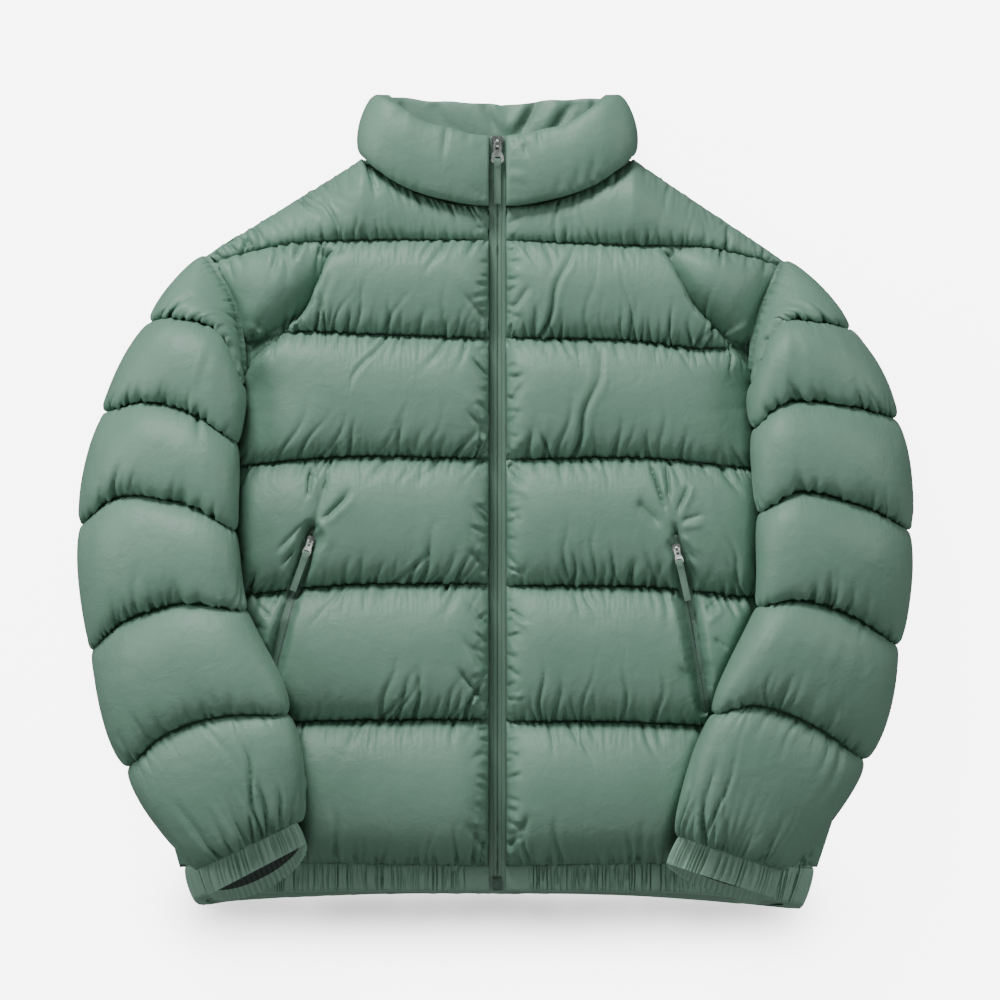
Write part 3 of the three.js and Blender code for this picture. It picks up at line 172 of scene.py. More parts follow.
# Seams round a sleeve: four plan points over its top, then outer z, inner z, rise, puff, edge, under.
SLEEVE_SEAMS = {
    "right": [
        (armhole_plan("right"), 22, 38, 14, 14, 7, 1),
        ([(328, 171), (304, 175), (264, 161), (243, 112)], 33, 54, 22, 24, 6, 0.7),
        ([(371, 86), (330, 95), (283, 82), (249, 57)], 38, 72, 26, 26, 5, 0.3),
        ([(394, -21), (354, 6), (287, -3), (250, -26)], 41, 86, 28, 27, 4, 0.2),
        ([(384, -140), (349, -110), (292, -94), (238, -102)], 46, 94, 28, 27, 2, 0.2),
        ([(349, -250), (311, -217), (259, -200), (199, -199)], 58, 106, 26, 25, 7, 0.2),
        ([(281, -345), (250, -330), (219, -315), (188, -300)], 76, 98, 14, 25, 7, 0.2),
    ],
    "left": [
        (armhole_plan("left"), 22, 38, 14, 14, 7, 1),
        ([(333, 164), (302, 171), (266, 168), (243, 113)], 33, 54, 22, 24, 6, 0.7),
        ([(376, 80), (330, 92), (273, 95), (245, 71)], 38, 72, 26, 26, 6, 0.3),
        ([(389, -26), (349, -5), (287, 11), (249, -9)], 41, 86, 28, 27, 5, 0.2),
        ([(378, -135), (335, -107), (287, -91), (247, -98)], 46, 94, 28, 27, 5, 0.2),
        ([(346, -243), (297, -209), (245, -190), (205, -199)], 58, 106, 26, 25, 7, 0.2),
        ([(267, -347), (234.7, -335.7), (202.3, -324.3), (170, -313)], 76, 98, 14, 25, 7, 0.2),
    ],
}
CUFFS = {
    "right": dict(outer=(-8, -25), inner=(-7, -21), under=(-9, -20)),
    "left": dict(outer=(-8, -25), inner=(-10, -26), under=(-2, -13)),
}
# Collar, from the zip round to the back: foot out, y, top out, y, z, half thickness.
COLLAR = np.array([
    (8.3, 281, 8.3, 347, 61, 12), (24, 282, 23, 349, 62, 15), (46, 286, 43, 353, 63, 16),
    (70, 292, 64, 359, 63, 16), (94, 302, 84, 370, 62, 16), (112, 315, 98, 381, 59, 15),
    (122, 327, 108, 386, 51, 14), (123, 331, 110, 386, 40, 13), (120, 330, 107, 386, 28, 14),
    (108, 328, 96, 386, 19, 15), (84, 325, 75, 385, 16, 16), (45, 322, 40, 382, 16, 16),
    (0, 321, 0, 379, 16, 16)], float)
# Hem band, from the zip round to the back: seam out, y, edge out, y, seam z, edge z.
HEM_BAND = {
    "right": np.array([
        (8.3, -345.5, 8.3, -371, 30, 26), (60, -345, 60, -371, 30, 26), (160, -343, 160, -371, 30, 25),
        (240, -343, 240, -373, 27, 23), (288, -346, 278, -376, 21, 19), (298, -348, 289, -382, 14, 12),
        (286, -348, 278, -385, 5, 4), (240, -347, 238, -380, 3.2, 3.2), (120, -346.5, 120, -375, 3.2, 3.2),
        (0, -346.5, 0, -374, 3.2, 3.2)], float),
    "left": np.array([
        (8.3, -345.5, 8.3, -371, 30, 26), (60, -345, 60, -371, 30, 26), (160, -343, 160, -372, 30, 25),
        (240, -344, 240, -378, 27, 23), (292, -348, 281, -383, 21, 19), (302, -349, 291, -387, 14, 12),
        (290, -349, 281, -388, 5, 4), (240, -348, 238, -384, 3.2, 3.2), (120, -346.5, 120, -376, 3.2, 3.2),
        (0, -346.5, 0, -374, 3.2, 3.2)], float),
}
print("seams", len(FRONT_SEAMS["right"]), "across each front")


# %% [markdown]
# Filling pushes the cloth up between two seams. The rise is steep at the seam and flat in the middle, and the
# filling sinks towards the lower seam, so a section's profile isn't a half circle: it climbs over its upper
# half and drops late. The level of the layers below is a second surface. Adding puff to level gives every
# height, and it's the same sum that shaped the solids. Hard parts such as a slider press the cloth down,
# which make_room does with a soft minimum of two heights.

# %% Curves and levels
def lerp(a, b, f):
    return a + (b - a) * f


def clamp(x):
    return np.clip(x, 0.0, 1.0)


def step(x):
    q = clamp(x)
    return q * q * (3 - 2 * q)


def round_rise(q):
    return 1 - (1 - clamp(q)) ** 2


def puff_profile(t):
    """A filled section between two seams: rises over its upper part, falls steeply to its lower seam."""
    return (np.clip(2 * t, 0, 1) * (2 - np.clip(2 * t, 0, 1))) ** 0.66 * (1 - clamp(2 * t - 1) ** 2.5) ** 0.56


def overhang(t):
    """How far a section sags over its lower seam, as a share of its most."""
    return 9.48 * t ** 3 * (1 - t)


def smooth_at(values, at):
    """A smooth curve through rows of numbers, read at fractional rows."""
    v = np.asarray(values, float)
    last = len(v) - 1
    at = np.clip(at, 0, last)
    k = np.minimum(np.floor(at).astype(int), last - 1)
    f = at - k
    v = np.concatenate([[2 * v[0] - v[1]], v, [2 * v[-1] - v[-2]]])
    a, b, c, d = v[k], v[k + 1], v[k + 2], v[k + 3]
    if v.ndim > 1:
        f = f[..., None]
    return 0.5 * (2 * b + (c - a) * f + (2 * a - 5 * b + 4 * c - d) * f ** 2 + (3 * b - a - 3 * c + d) * f ** 3)


def read_down(ys, outs, y):
    return np.interp(-y, [-v for v in ys], outs)


def side_out(side, y):
    a = ARMHOLE[side]
    upper = smooth_at(a["outs"], 3 * (a["tip"] - y) / (a["tip"] - a["pit"]))
    rows = SIDE_EDGE[side]
    return np.where(y > a["pit"], upper, read_down([r[0] for r in rows], [r[1] for r in rows], y))


def front_top_y(side, out):
    neck = NECK_FRONT_Y + (NECK_CORNER_Y - NECK_FRONT_Y) * (np.maximum(out, 0) / NECK_OUT) ** 2.4
    tip = ARMHOLE[side]
    shoulder = lerp(NECK_CORNER_Y, tip["tip"], (out - NECK_OUT) / (tip["outs"][0] - NECK_OUT))
    return np.where(out < NECK_OUT, neck, shoulder)


def side_level(side, y):
    a = ARMHOLE[side]
    above = lerp(ARMPIT_LEVEL, SHOULDER_LEVEL, (y - a["pit"]) / (a["tip"] - a["pit"]))
    below = lerp(SIDE_LEVEL, ARMPIT_LEVEL, clamp(1 - (a["pit"] - y) / 35))
    return np.where(y >= a["pit"], above, below)


def layer_level(side, out, y, hem_level):
    edge = side_level(side, y)
    inward = side_out(side, y) - out
    fall = round_rise((front_top_y(side, out) - y) / 75)
    from_shoulder = lerp(1, fall, clamp((out - 105) / 50))
    level = edge + (MID_LEVEL - edge) * round_rise(inward / 95) * from_shoulder
    hem = lerp(edge, hem_level, clamp(inward / 60))
    return lerp(hem, level, round_rise((y - HEM_SEAM_Y) / 80))


LAP_END = 13


def laps(x, y, rows):
    """Depth beside folds where one edge lies over the other: a cliff on one side, a slope on the other."""
    deepest = np.zeros(np.broadcast(x, y).shape)
    for ax, ay, bx, by, near, far, start, end in rows:
        run = math.hypot(bx - ax, by - ay)
        f = ((x - ax) * (bx - ax) + (y - ay) * (by - ay)) / run ** 2
        aside = ((x - ax) * (ay - by) + (y - ay) * (bx - ax)) / run
        past = np.maximum(np.maximum(-f, f - 1), 0) * run
        away = np.hypot(np.where(aside < 0, aside / near, aside / far), past / LAP_END)
        deepest = np.maximum(deepest, lerp(start, end, clamp(f)) * clamp(1 - away) ** 1.6)
    return deepest


def lap_reach(x, y, rows):
    """How far a fold's upper edge reaches over its groove, 0 to 1, on the edge's own side."""
    reach = np.zeros(np.broadcast(x, y).shape)
    for ax, ay, bx, by, near, far, start, end in rows:
        run = math.hypot(bx - ax, by - ay)
        f = ((x - ax) * (bx - ax) + (y - ay) * (by - ay)) / run ** 2
        aside = ((x - ax) * (ay - by) + (y - ay) * (bx - ax)) / run
        along = step(1 + 4 * f) * step(5 - 4 * f)
        there = np.where(aside < near, np.exp(-((aside + near) / 9) ** 2), 0)
        reach = np.maximum(reach, there * along * clamp(lerp(start, end, clamp(f)) / 20))
    return reach


def creases(x, y, rows):
    """Height of narrow ridges and troughs, tapered to both ends."""
    total = np.zeros(np.broadcast(x, y).shape)
    for ax, ay, bx, by, width, height in rows:
        run = math.hypot(bx - ax, by - ay)
        f = ((x - ax) * (bx - ax) + (y - ay) * (by - ay)) / run ** 2
        aside = ((x - ax) * (ay - by) + (y - ay) * (bx - ax)) / run
        taper = step(f / 0.22) * step((1 - f) / 0.45)
        total += height * taper * np.exp(-(aside / width) ** 2)
    return total


def places_on(names, narrow):
    """Places on pieces, in millimetres: corners and points along the edges, drawn in to the middle."""
    found = []
    for name in names:
        mesh = bpy.data.objects[name].data
        at = np.zeros(3 * len(mesh.vertices), np.float32)
        mesh.vertices.foreach_get("co", at)
        at = at.reshape(-1, 3) / MM - MIDDLE
        ends = np.zeros(2 * len(mesh.edges), np.int32)
        mesh.edges.foreach_get("vertices", ends)
        a, b = at[ends[::2]], at[ends[1::2]]
        found += [lerp(a, b, f) for f in np.linspace(0, 1, 13)]
    spots = np.concatenate(found)
    plan = spots[:, :2] - spots[:, :2].mean(0)
    way = np.linalg.svd(plan, full_matrices=False)[2][1]
    spots[:, :2] -= (1 - narrow) * (plan @ way)[:, None] * way
    return np.unique(np.round(spots / 0.9), axis=0) * 0.9


def make_room(grid, names, slope, margin, narrow=1.0, soft=2.2):
    """Lowers cloth under the hard pieces that lie on it, in a soft dent round each."""
    spots = places_on(names, narrow)
    low, high = spots.min(0) - 14, spots.max(0) + 14
    near = np.all((grid[..., :2] > low[:2]) & (grid[..., :2] < high[:2]), axis=-1)
    here = grid[near]
    limit = np.full(len(here), 1e3)
    for x, y, z in spots:
        far = np.hypot(here[:, 0] - x, here[:, 1] - y)
        limit = np.minimum(limit, z - 0.4 + slope * np.maximum(0, far - margin))
    share = clamp(0.5 + 0.5 * (limit - here[:, 2]) / soft)
    eased = lerp(limit, here[:, 2], share) - soft * share * (1 - share)
    here[:, 2] = np.minimum(eased, np.maximum(here[:, 2], 0))
    grid[near] = here
    return grid


def seam_wall(side, out, y):
    return lerp(EDGE_WALL, SEAM_WALL, clamp((side_out(side, y) - out) / 30))


def pressed(side, out, y):
    plans = [row[0][3] for row in SLEEVE_SEAMS[side]]
    inner = read_down([p[1] for p in plans], [p[0] for p in plans], y)
    return step(clamp((out - inner + 15) / 26) * clamp((ARMHOLE[side]["pit"] - y) / 34))


def puff_share(side, out, y):
    zip_share = lerp(1, 0.35, np.exp(-(out - ZIP_EDGE) / 9))
    inward = np.maximum(0, side_out(side, y) - out)
    armhole = lerp(1, 0.25, np.exp(-inward / 14))
    share = inward / 70
    below = (share / (1 + share ** 4) ** 0.25) ** 0.6
    share = lerp(below, armhole, step((y - ARMHOLE[side]["pit"] + 20) / 50))
    return zip_share * share * lerp(1, 0.12, pressed(side, out, y))


def body_top(side, out, y):
    inward = side_out(side, y) - out
    below = clamp((ARMHOLE[side]["pit"] + 4 - y) / 25)
    outside = below * np.maximum(0, (side_level(side, y) + EDGE_WALL) * (1 + inward / 26))
    full = seam_wall(side, out, y) + 36 * puff_share(side, out, y)
    fall = clamp((y - HEM_SEAM_Y) / 45) ** 0.6
    inside = layer_level(side, out, np.maximum(y, HEM_SEAM_Y), FRONT_HEM_LEVEL) + lerp(EDGE_WALL, full, fall)
    return np.where(inward < 0, outside, inside)


print("level over the belly, mm", float(layer_level("right", 150.0, 0.0, FRONT_HEM_LEVEL)))


# %% [markdown]
# Gathers in cloth are uneven but soft. Filtered noise gives that: random numbers, blurred by a set number of
# cells along each axis. The seed is fixed, so the same jacket comes out every time.

# %% Smooth noise
def noise(shape, size, seed):
    """A soft random field, unit height, with features about size cells across."""
    rng = np.random.default_rng(seed)
    field = rng.standard_normal(shape)
    fy = np.fft.fftfreq(shape[0])[:, None]
    fx = np.fft.rfftfreq(shape[1])[None, :]
    sizes = size if isinstance(size, tuple) else (size, size)
    filt = np.exp(-0.5 * ((fy * sizes[0] * 2.2) ** 2 + (fx * sizes[1] * 2.2) ** 2))
    field = np.fft.irfft2(np.fft.rfft2(field) * filt, s=shape)
    return field / field.std()


print("noise made", noise((8, 8), 2, 1).shape)


# %% [markdown]
# At a seam, thread draws the cloth together. There is then more cloth than room, and it buckles into puckers
# that fade away from the seam. Two steps make this. First, gathers presses valleys of uneven length and lean
# into the shape, at both edges of every section. Then relax gives the sheet springs that are a little longer
# than their places and lets it settle. A full cloth simulation could do both, and wasn't tried here: this
# short one pins every seam and keeps every section where its solid is.

# %% Cloth relaxation
def normals_of(p):
    du = np.gradient(p, axis=1)
    dv = np.gradient(p, axis=0)
    n = np.cross(dv, du)
    return n / (np.linalg.norm(n, axis=2, keepdims=True) + 1e-9)


def relax(shape, extra_u, extra_v, free, cap, steps, seed, outward=1.0, bend=0.35, press=0.03):
    """Lets a sheet that is cut longer than its place buckle into gathers and wrinkles."""
    base = shape.astype(np.float32)
    normal = (normals_of(base) * outward).astype(np.float32)
    rows, cols = base.shape[:2]
    w = free.astype(np.float32)
    seedling = noise((rows, cols), (12, 3), seed) * 0.12
    p = base + normal * (seedling * w)[..., None].astype(np.float32)
    links = []

    def add(a, b, extra, stiff, push_only):
        rest = np.linalg.norm(base[b] - base[a], axis=-1) * extra
        inverse = w[a] + w[b]
        weight = np.where(inverse > 0, stiff / np.maximum(inverse, 1), 0).astype(np.float32)
        links.append((a, b, rest.astype(np.float32), weight, push_only))

    full = slice(None)
    for s in (0, 1):
        a = (full, slice(s, cols - 1, 2))
        b = (full, slice(s + 1, cols, 2))
        add(a, b, extra_u[a], 1.0, False)
        a = (slice(s, rows - 1, 2), full)
        b = (slice(s + 1, rows, 2), full)
        add(a, b, extra_v[a], 1.0, False)
        for d0, d1 in ((slice(0, cols - 1), slice(1, cols)), (slice(1, cols), slice(0, cols - 1))):
            a = (slice(s, rows - 1, 2), d0)
            b = (slice(s + 1, rows, 2), d1)
            add(a, b, np.sqrt(0.5 * (extra_u[a] ** 2 + extra_v[a] ** 2)), 0.2, False)
    for s in (0, 1, 2, 3):
        a = (full, slice(s, cols - 2, 4))
        b = (full, slice(s + 2, cols, 4))
        add(a, b, extra_u[a], bend, True)
        a = (slice(s, rows - 2, 4), full)
        b = (slice(s + 2, rows, 4), full)
        add(a, b, extra_v[a], bend, True)
    before = p.copy()
    limit = cap.astype(np.float32)
    for _ in range(steps):
        moved = p + (p - before) * 0.9 + normal * (press * w)[..., None]
        before = p
        p = moved
        for a, b, rest, weight, push_only in links:
            d = p[b] - p[a]
            length = np.sqrt(np.einsum("ijk,ijk->ij", d, d)) + 1e-9
            f = weight * (1 - rest / length)
            if push_only:
                f = np.minimum(f, 0)
            d *= f[..., None]
            p[a] += d * w[a][..., None]
            p[b] -= d * w[b][..., None]
        away = p - base
        away *= 0.985
        far = np.linalg.norm(away, axis=2)
        away *= np.minimum(1, limit / np.maximum(far, 1e-6))[..., None]
        p = base + away
    return p.astype(float)


def gathers(shape, rows, talls, outward, seed, plans):
    """Puckers at both edges of each section. plans: (pitch, length, depth, lean) above and below."""
    rng = np.random.default_rng(seed)
    normal = normals_of(shape) * outward
    t = np.array([r[1] for r in rows])
    section = np.array([r[0] for r in rows])
    moved = np.zeros(shape.shape[:2])
    for k in range(section.max() + 1):
        here = np.where(section == k)[0]
        patch = shape[here]
        s = np.concatenate([[0], np.cumsum(np.linalg.norm(np.diff(patch, axis=1), axis=2).mean(0))])
        tall = talls[here]
        upper, lower = plans.get(k, plans["all"])
        from_upper = t[here][:, None] * tall
        for pitch, length, depth, lean, d in ((*upper, from_upper), (*lower, tall - from_upper)):
            at = rng.uniform(0, pitch)
            strong = noise((1, 400), (1, 14), int(rng.integers(1e6)))[0]
            while at < s[-1]:
                power = np.clip(0.85 + 0.45 * strong[int(400 * at / s[-1])], 0.15, 1.9)
                power *= rng.uniform(0.55, 1.25)
                reach = length * rng.lognormal(-0.1, 0.42) * (0.6 + 0.4 * power)
                width = rng.uniform(1.15, 2.7) * (0.75 + 0.25 * power)
                slant = rng.normal(lean, 0.17)
                lo, hi = np.searchsorted(s, (at - 34, at + 34))
                dd = d[:, lo:hi]
                across = s[None, lo:hi] - at - slant * dd - 2.5 * np.sin(dd / 9 + at)
                x = across / (width * (1 + 0.9 * dd / reach))
                fall = clamp(1 - dd / reach) ** 1.25 * (0.3 + 0.7 * clamp(dd / 2.5))
                valley = np.exp(-np.abs(x) ** 1.35) - 0.4 * np.exp(-((np.abs(x) - 2.1) / 1.1) ** 2)
                moved[here[0]:here[-1] + 1, lo:hi] -= depth * power * fall * valley
                at += pitch * rng.uniform(0.55, 1.5)
    return shape + normal * moved[..., None]


print("relaxation ready")


# %% [markdown]
# Each cloth piece is a closed body: an outer sheet, an inner sheet and walls between their edges. Grids of
# points make this simple. They also carry cloth coordinates, measured in millimetres along the sheet, so that
# a weave drawn on them later isn't stretched. The pucker value says how near a point is to a seam.

# %% Meshes from grids
def grid_faces(rows, cols, start, wrap):
    i = np.arange(rows - 1)[:, None]
    j = np.arange(cols if wrap else cols - 1)[None, :]
    k = (j + 1) % cols
    quads = np.stack([i * cols + j, (i + 1) * cols + j, (i + 1) * cols + k, i * cols + k], -1)
    return quads.reshape(-1, 4) + start


def strip_faces(points, line_a, line_b):
    """Triangles between two lines of vertex numbers that run the same way."""
    def shares(line):
        steps = np.linalg.norm(np.diff(points[line], axis=0), axis=1)
        total = np.concatenate([[0], np.cumsum(steps)])
        return total / max(total[-1], 1e-9)
    a, b = shares(line_a), shares(line_b)
    faces = []
    i = j = 0
    while i + 1 < len(line_a) or j + 1 < len(line_b):
        if j + 1 >= len(line_b) or (i + 1 < len(line_a) and a[i + 1] <= b[j + 1]):
            faces.append((line_a[i + 1], line_a[i], line_b[j]))
            i += 1
        else:
            faces.append((line_b[j], line_b[j + 1], line_a[i]))
            j += 1
    return faces


def walls(outer, inner, wrap=False):
    """Points, faces and cloth coordinates of a closed piece between two grids."""
    ro, co = outer.shape[:2]
    ri, ci = inner.shape[:2]
    points = np.concatenate([outer.reshape(-1, 3), inner.reshape(-1, 3)])
    number_o = np.arange(ro * co).reshape(ro, co)
    number_i = np.arange(ri * ci).reshape(ri, ci) + ro * co
    quads = np.concatenate([grid_faces(ro, co, 0, wrap), grid_faces(ri, ci, ro * co, wrap)[:, ::-1]])
    edges = []
    if wrap:
        ring = lambda n, r: np.append(n[r], n[r][0])
        edges.append((ring(number_o, 0)[::-1], ring(number_i, 0)[::-1]))
        edges.append((ring(number_o, -1), ring(number_i, -1)))
    else:
        for turn in (lambda n: n[:, 0], lambda n: n[-1], lambda n: n[::-1, -1], lambda n: n[0, ::-1]):
            edges.append((turn(number_o), turn(number_i)))
    faces = [tuple(q) for q in quads.tolist()]
    for a, b in edges:
        faces += strip_faces(points, a.tolist(), b.tolist())
    cloth = np.concatenate([cloth_map(outer), cloth_map(inner)])
    return points, faces, cloth


def cloth_map(grid):
    """Distances along a grid's rows and columns, as flat cloth coordinates in millimetres."""
    du = np.linalg.norm(np.diff(grid, axis=1), axis=2).mean(0)
    dv = np.linalg.norm(np.diff(grid, axis=0), axis=2).mean(1)
    u = np.concatenate([[0], np.cumsum(du)])
    v = np.concatenate([[0], np.cumsum(dv)])
    return np.stack(np.broadcast_arrays(u[None, :], v[:, None]), -1).reshape(-1, 2)


def mesh_object(name, points, faces, cloth=None, sharp=50, pucker=None):
    mesh = bpy.data.meshes.new(name)
    mesh.from_pydata(((points + MIDDLE) * MM).tolist(), [], faces)
    if cloth is not None:
        corner = np.zeros(len(mesh.loops), np.int32)
        mesh.loops.foreach_get("vertex_index", corner)
        uv = mesh.uv_layers.new(name="cloth")
        uv.data.foreach_set("uv", (cloth[corner] * MM).astype(np.float32).ravel())
    if pucker is not None:
        share = np.zeros(len(points), np.float32)
        share[:pucker.size] = pucker.ravel()
        mesh.attributes.new("pucker", "FLOAT", "POINT").data.foreach_set("value", share)
    mesh.polygons.foreach_set("use_smooth", [True] * len(mesh.polygons))
    mesh.set_sharp_from_angle(angle=math.radians(sharp))
    mesh.validate()
    piece = bpy.data.objects.new(name, mesh)
    bpy.context.collection.objects.link(piece)
    return piece


def outward_volume(points, faces):
    total = 0.0
    tri = np.array([f[:3] for f in faces] + [(f[0], f[2], f[3]) for f in faces if len(f) == 4])
    a, b, c = points[tri[:, 0]], points[tri[:, 1]], points[tri[:, 2]]
    total = np.einsum("ij,ij->i", a, np.cross(b, c)).sum()
    return total / 6


def closed_piece(name, outer, inner, wrap=False, sharp=50, pucker=None):
    outer[..., 2] = np.maximum(outer[..., 2], 0)
    points, faces, cloth = walls(outer, inner, wrap)
    if outward_volume(points, faces) < 0:
        faces = [tuple(reversed(f)) for f in faces]
    return mesh_object(name, points, faces, cloth, sharp, pucker)


print("mesh tools ready")

# %% [markdown]
# A front is one panel with five cross seams and six filled sections, sewn to the zip tape, the shoulder, the
# sleeve and the side. Where the tape holds it short, small creases run in from the zip. The pocket is a slit:
# its two lips bulge over the zip between them, so the cloth dips only along the middle of that zip.

# %% Fronts
STEP = 1.7


def seam_plan(side, index, u):
    """Plan of seam number index at shares u across; 0 is the neck and shoulder edge."""
    seam = FRONT_SEAMS[side][index - 1] if index else None
    side_y = seam[3] if seam else ARMHOLE[side]["tip"]
    edge = float(side_out(side, float(side_y)))
    out = np.where(u < CORNER_U, lerp(ZIP_EDGE, NECK_OUT, u / CORNER_U),
                   lerp(NECK_OUT, edge, (u - CORNER_U) / (1 - CORNER_U)))
    if not seam:
        return out, front_top_y(side, out)
    at = np.where(u < CORNER_U, u / CORNER_U, 1 + 2 * (u - CORNER_U) / (1 - CORNER_U))
    return out, smooth_at(seam, at)


def front_rows(side, rows, u):
    """out, y and section height for rows given as (section, share down it)."""
    out, y, tall = [], [], []
    for k, t in rows:
        out_a, y_a = seam_plan(side, k, u)
        out_b, y_b = seam_plan(side, k + 1, u)
        row_y = lerp(y_a, y_b, t)
        row_out = lerp(out_a, out_b, t)
        shift = float(side_out(side, lerp(y_a[-1], y_b[-1], t))) - lerp(out_a[-1], out_b[-1], t)
        row_out = row_out + np.where(u < CORNER_U, 0, (u - CORNER_U) / (1 - CORNER_U)) * shift
        out.append(row_out)
        y.append(row_y)
        tall.append(y_a - y_b)
    return np.array(out), np.array(y), np.array(tall)


def section_rows(heights, step_mm):
    rows = []
    for k, tall in enumerate(heights):
        n = max(8, round(tall / step_mm))
        rows += [(k, i / n) for i in range(n)]
    return rows + [(len(heights) - 1, 1.0)]


def zip_puckers(side, seed):
    """Short creases that run from the zip's edge into the front, as rows for creases()."""
    rng = np.random.default_rng(seed)
    rows = []
    y = 262.0
    while y > -338:
        length, height = rng.uniform(9, 22), rng.uniform(1.2, 3.2)
        rise = length * rng.normal(0.15, 0.55)
        width = rng.uniform(1.6, 2.6)
        rows.append((8.6, y, 8.6 + length, y + rise, width, -height))
        rows.append((8.6, y + 2.1 * width, 8.6 + 0.9 * length, y + 2.1 * width + rise, width, 0.55 * height))
        y -= rng.uniform(6, 17)
    return rows


def front_shape(side):
    u = np.linspace(0, 1, round(325 / STEP))
    rows = section_rows([62, 92, 116, 122, 124, 140], STEP)
    out, y, tall = front_rows(side, rows, u)
    t = np.array([r[1] for r in rows])[:, None]
    wall = seam_wall(side, out, y) * (1 - 0.75 * pressed(side, out, y))
    level = layer_level(side, out, y, FRONT_HEM_LEVEL) + wall
    share = puff_share(side, out, y)
    puff = 0.28 * tall * puff_profile(t) * share
    groove = 6 * lap_reach(out, y, FRONT_LAPS[side])
    z = level + np.maximum(0.88 * puff - laps(out, y, FRONT_LAPS[side]), -7.5) + 3.5 * share
    folds = FRONT_CREASES[side] + zip_puckers(side, 81 + SIDES[side])
    z = z + creases(out, y, folds) * clamp(puff / 8)
    out = out + groove * clamp((side_out(side, y) - out) / 20)
    scallop = 0.9 * noise(out.shape, (40, 3.2), 61) * np.abs(2 * t - 1) ** 8
    y = y - 1.2 * overhang(t) * clamp(tall / 110) * share + scallop * (t > 0) * (t < 1)
    return np.stack([SIDES[side] * out, y, z], -1), rows, np.maximum(tall, 12)


def slack(rows, talls, near, middle, reach):
    """How much longer the cloth is cut than its place, most beside the seams."""
    t = np.array([r[1] for r in rows])[:, None]
    from_seam = np.minimum(t, 1 - t) * talls
    return 1 + middle + near * np.exp(-from_seam / reach), from_seam


fronts = {}
for side in SIDES:
    shape, rows, talls = front_shape(side)
    seed = 11 if side == "right" else 12
    below_neck = (8, 52, 3.8, -0.6) if side == "right" else (11, 26, 1.4, -0.2)
    plans = {"all": ((7.6, 25, 2.4, 0.55), (7.2, 38, 3.6, -0.5 if side == "right" else 0.1)),
             0: (below_neck, (7.5, 22, 2.2, 0.1)), 5: ((8, 26, 2.2, 0.5), (6.6, 30, 4.4, 0.0))}
    shape = gathers(shape, rows, talls, SIDES[side], seed, plans)
    extra_u, from_seam = slack(rows, talls, 0.03, 0.006, 12)
    free = from_seam > 0.01
    free[:, 0] = free[:, -1] = False
    free[0] = free[-1] = False
    cap = 0.2 + np.minimum(3, 0.3 * from_seam)
    cloth = relax(shape, extra_u, np.ones_like(extra_u), free, cap, 36, seed, outward=SIDES[side])
    u_plain = np.linspace(0, 1, 9)
    plain_rows = section_rows([62, 92, 116, 122, 124, 140], 40)
    out, y, _ = front_rows(side, plain_rows, u_plain)
    lower = np.stack([SIDES[side] * out, y, layer_level(side, out, y, FRONT_HEM_LEVEL) + 0.3], -1)
    cloth = make_room(cloth, [f"pocket_zip_{side}"], 1.9, 0.5, 0.3)
    cloth = make_room(cloth, [f"{kind}_pocket_{side}" for kind in ("slider", "pull", "strap")], 1.3, 1.0)
    fronts[side] = cloth
    piece = closed_piece(f"front_{side}_quilt", cloth, lower, pucker=np.exp(-from_seam / 15))
    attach(piece, "jacket")
    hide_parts(f"front_{side}")
    print(piece.name, len(piece.data.polygons), "faces")

# %% [markdown]
# A sleeve is a quilted tube, flattened as it lies and bent at the elbow. It's drawn as rings: each ring
# takes its place from the seam lines in the table, and an angle leads round it. The fronts fill the space
# below, so the underside rests on their height. Sections sag over their lower seams in uneven lobes, as
# loose filling does.

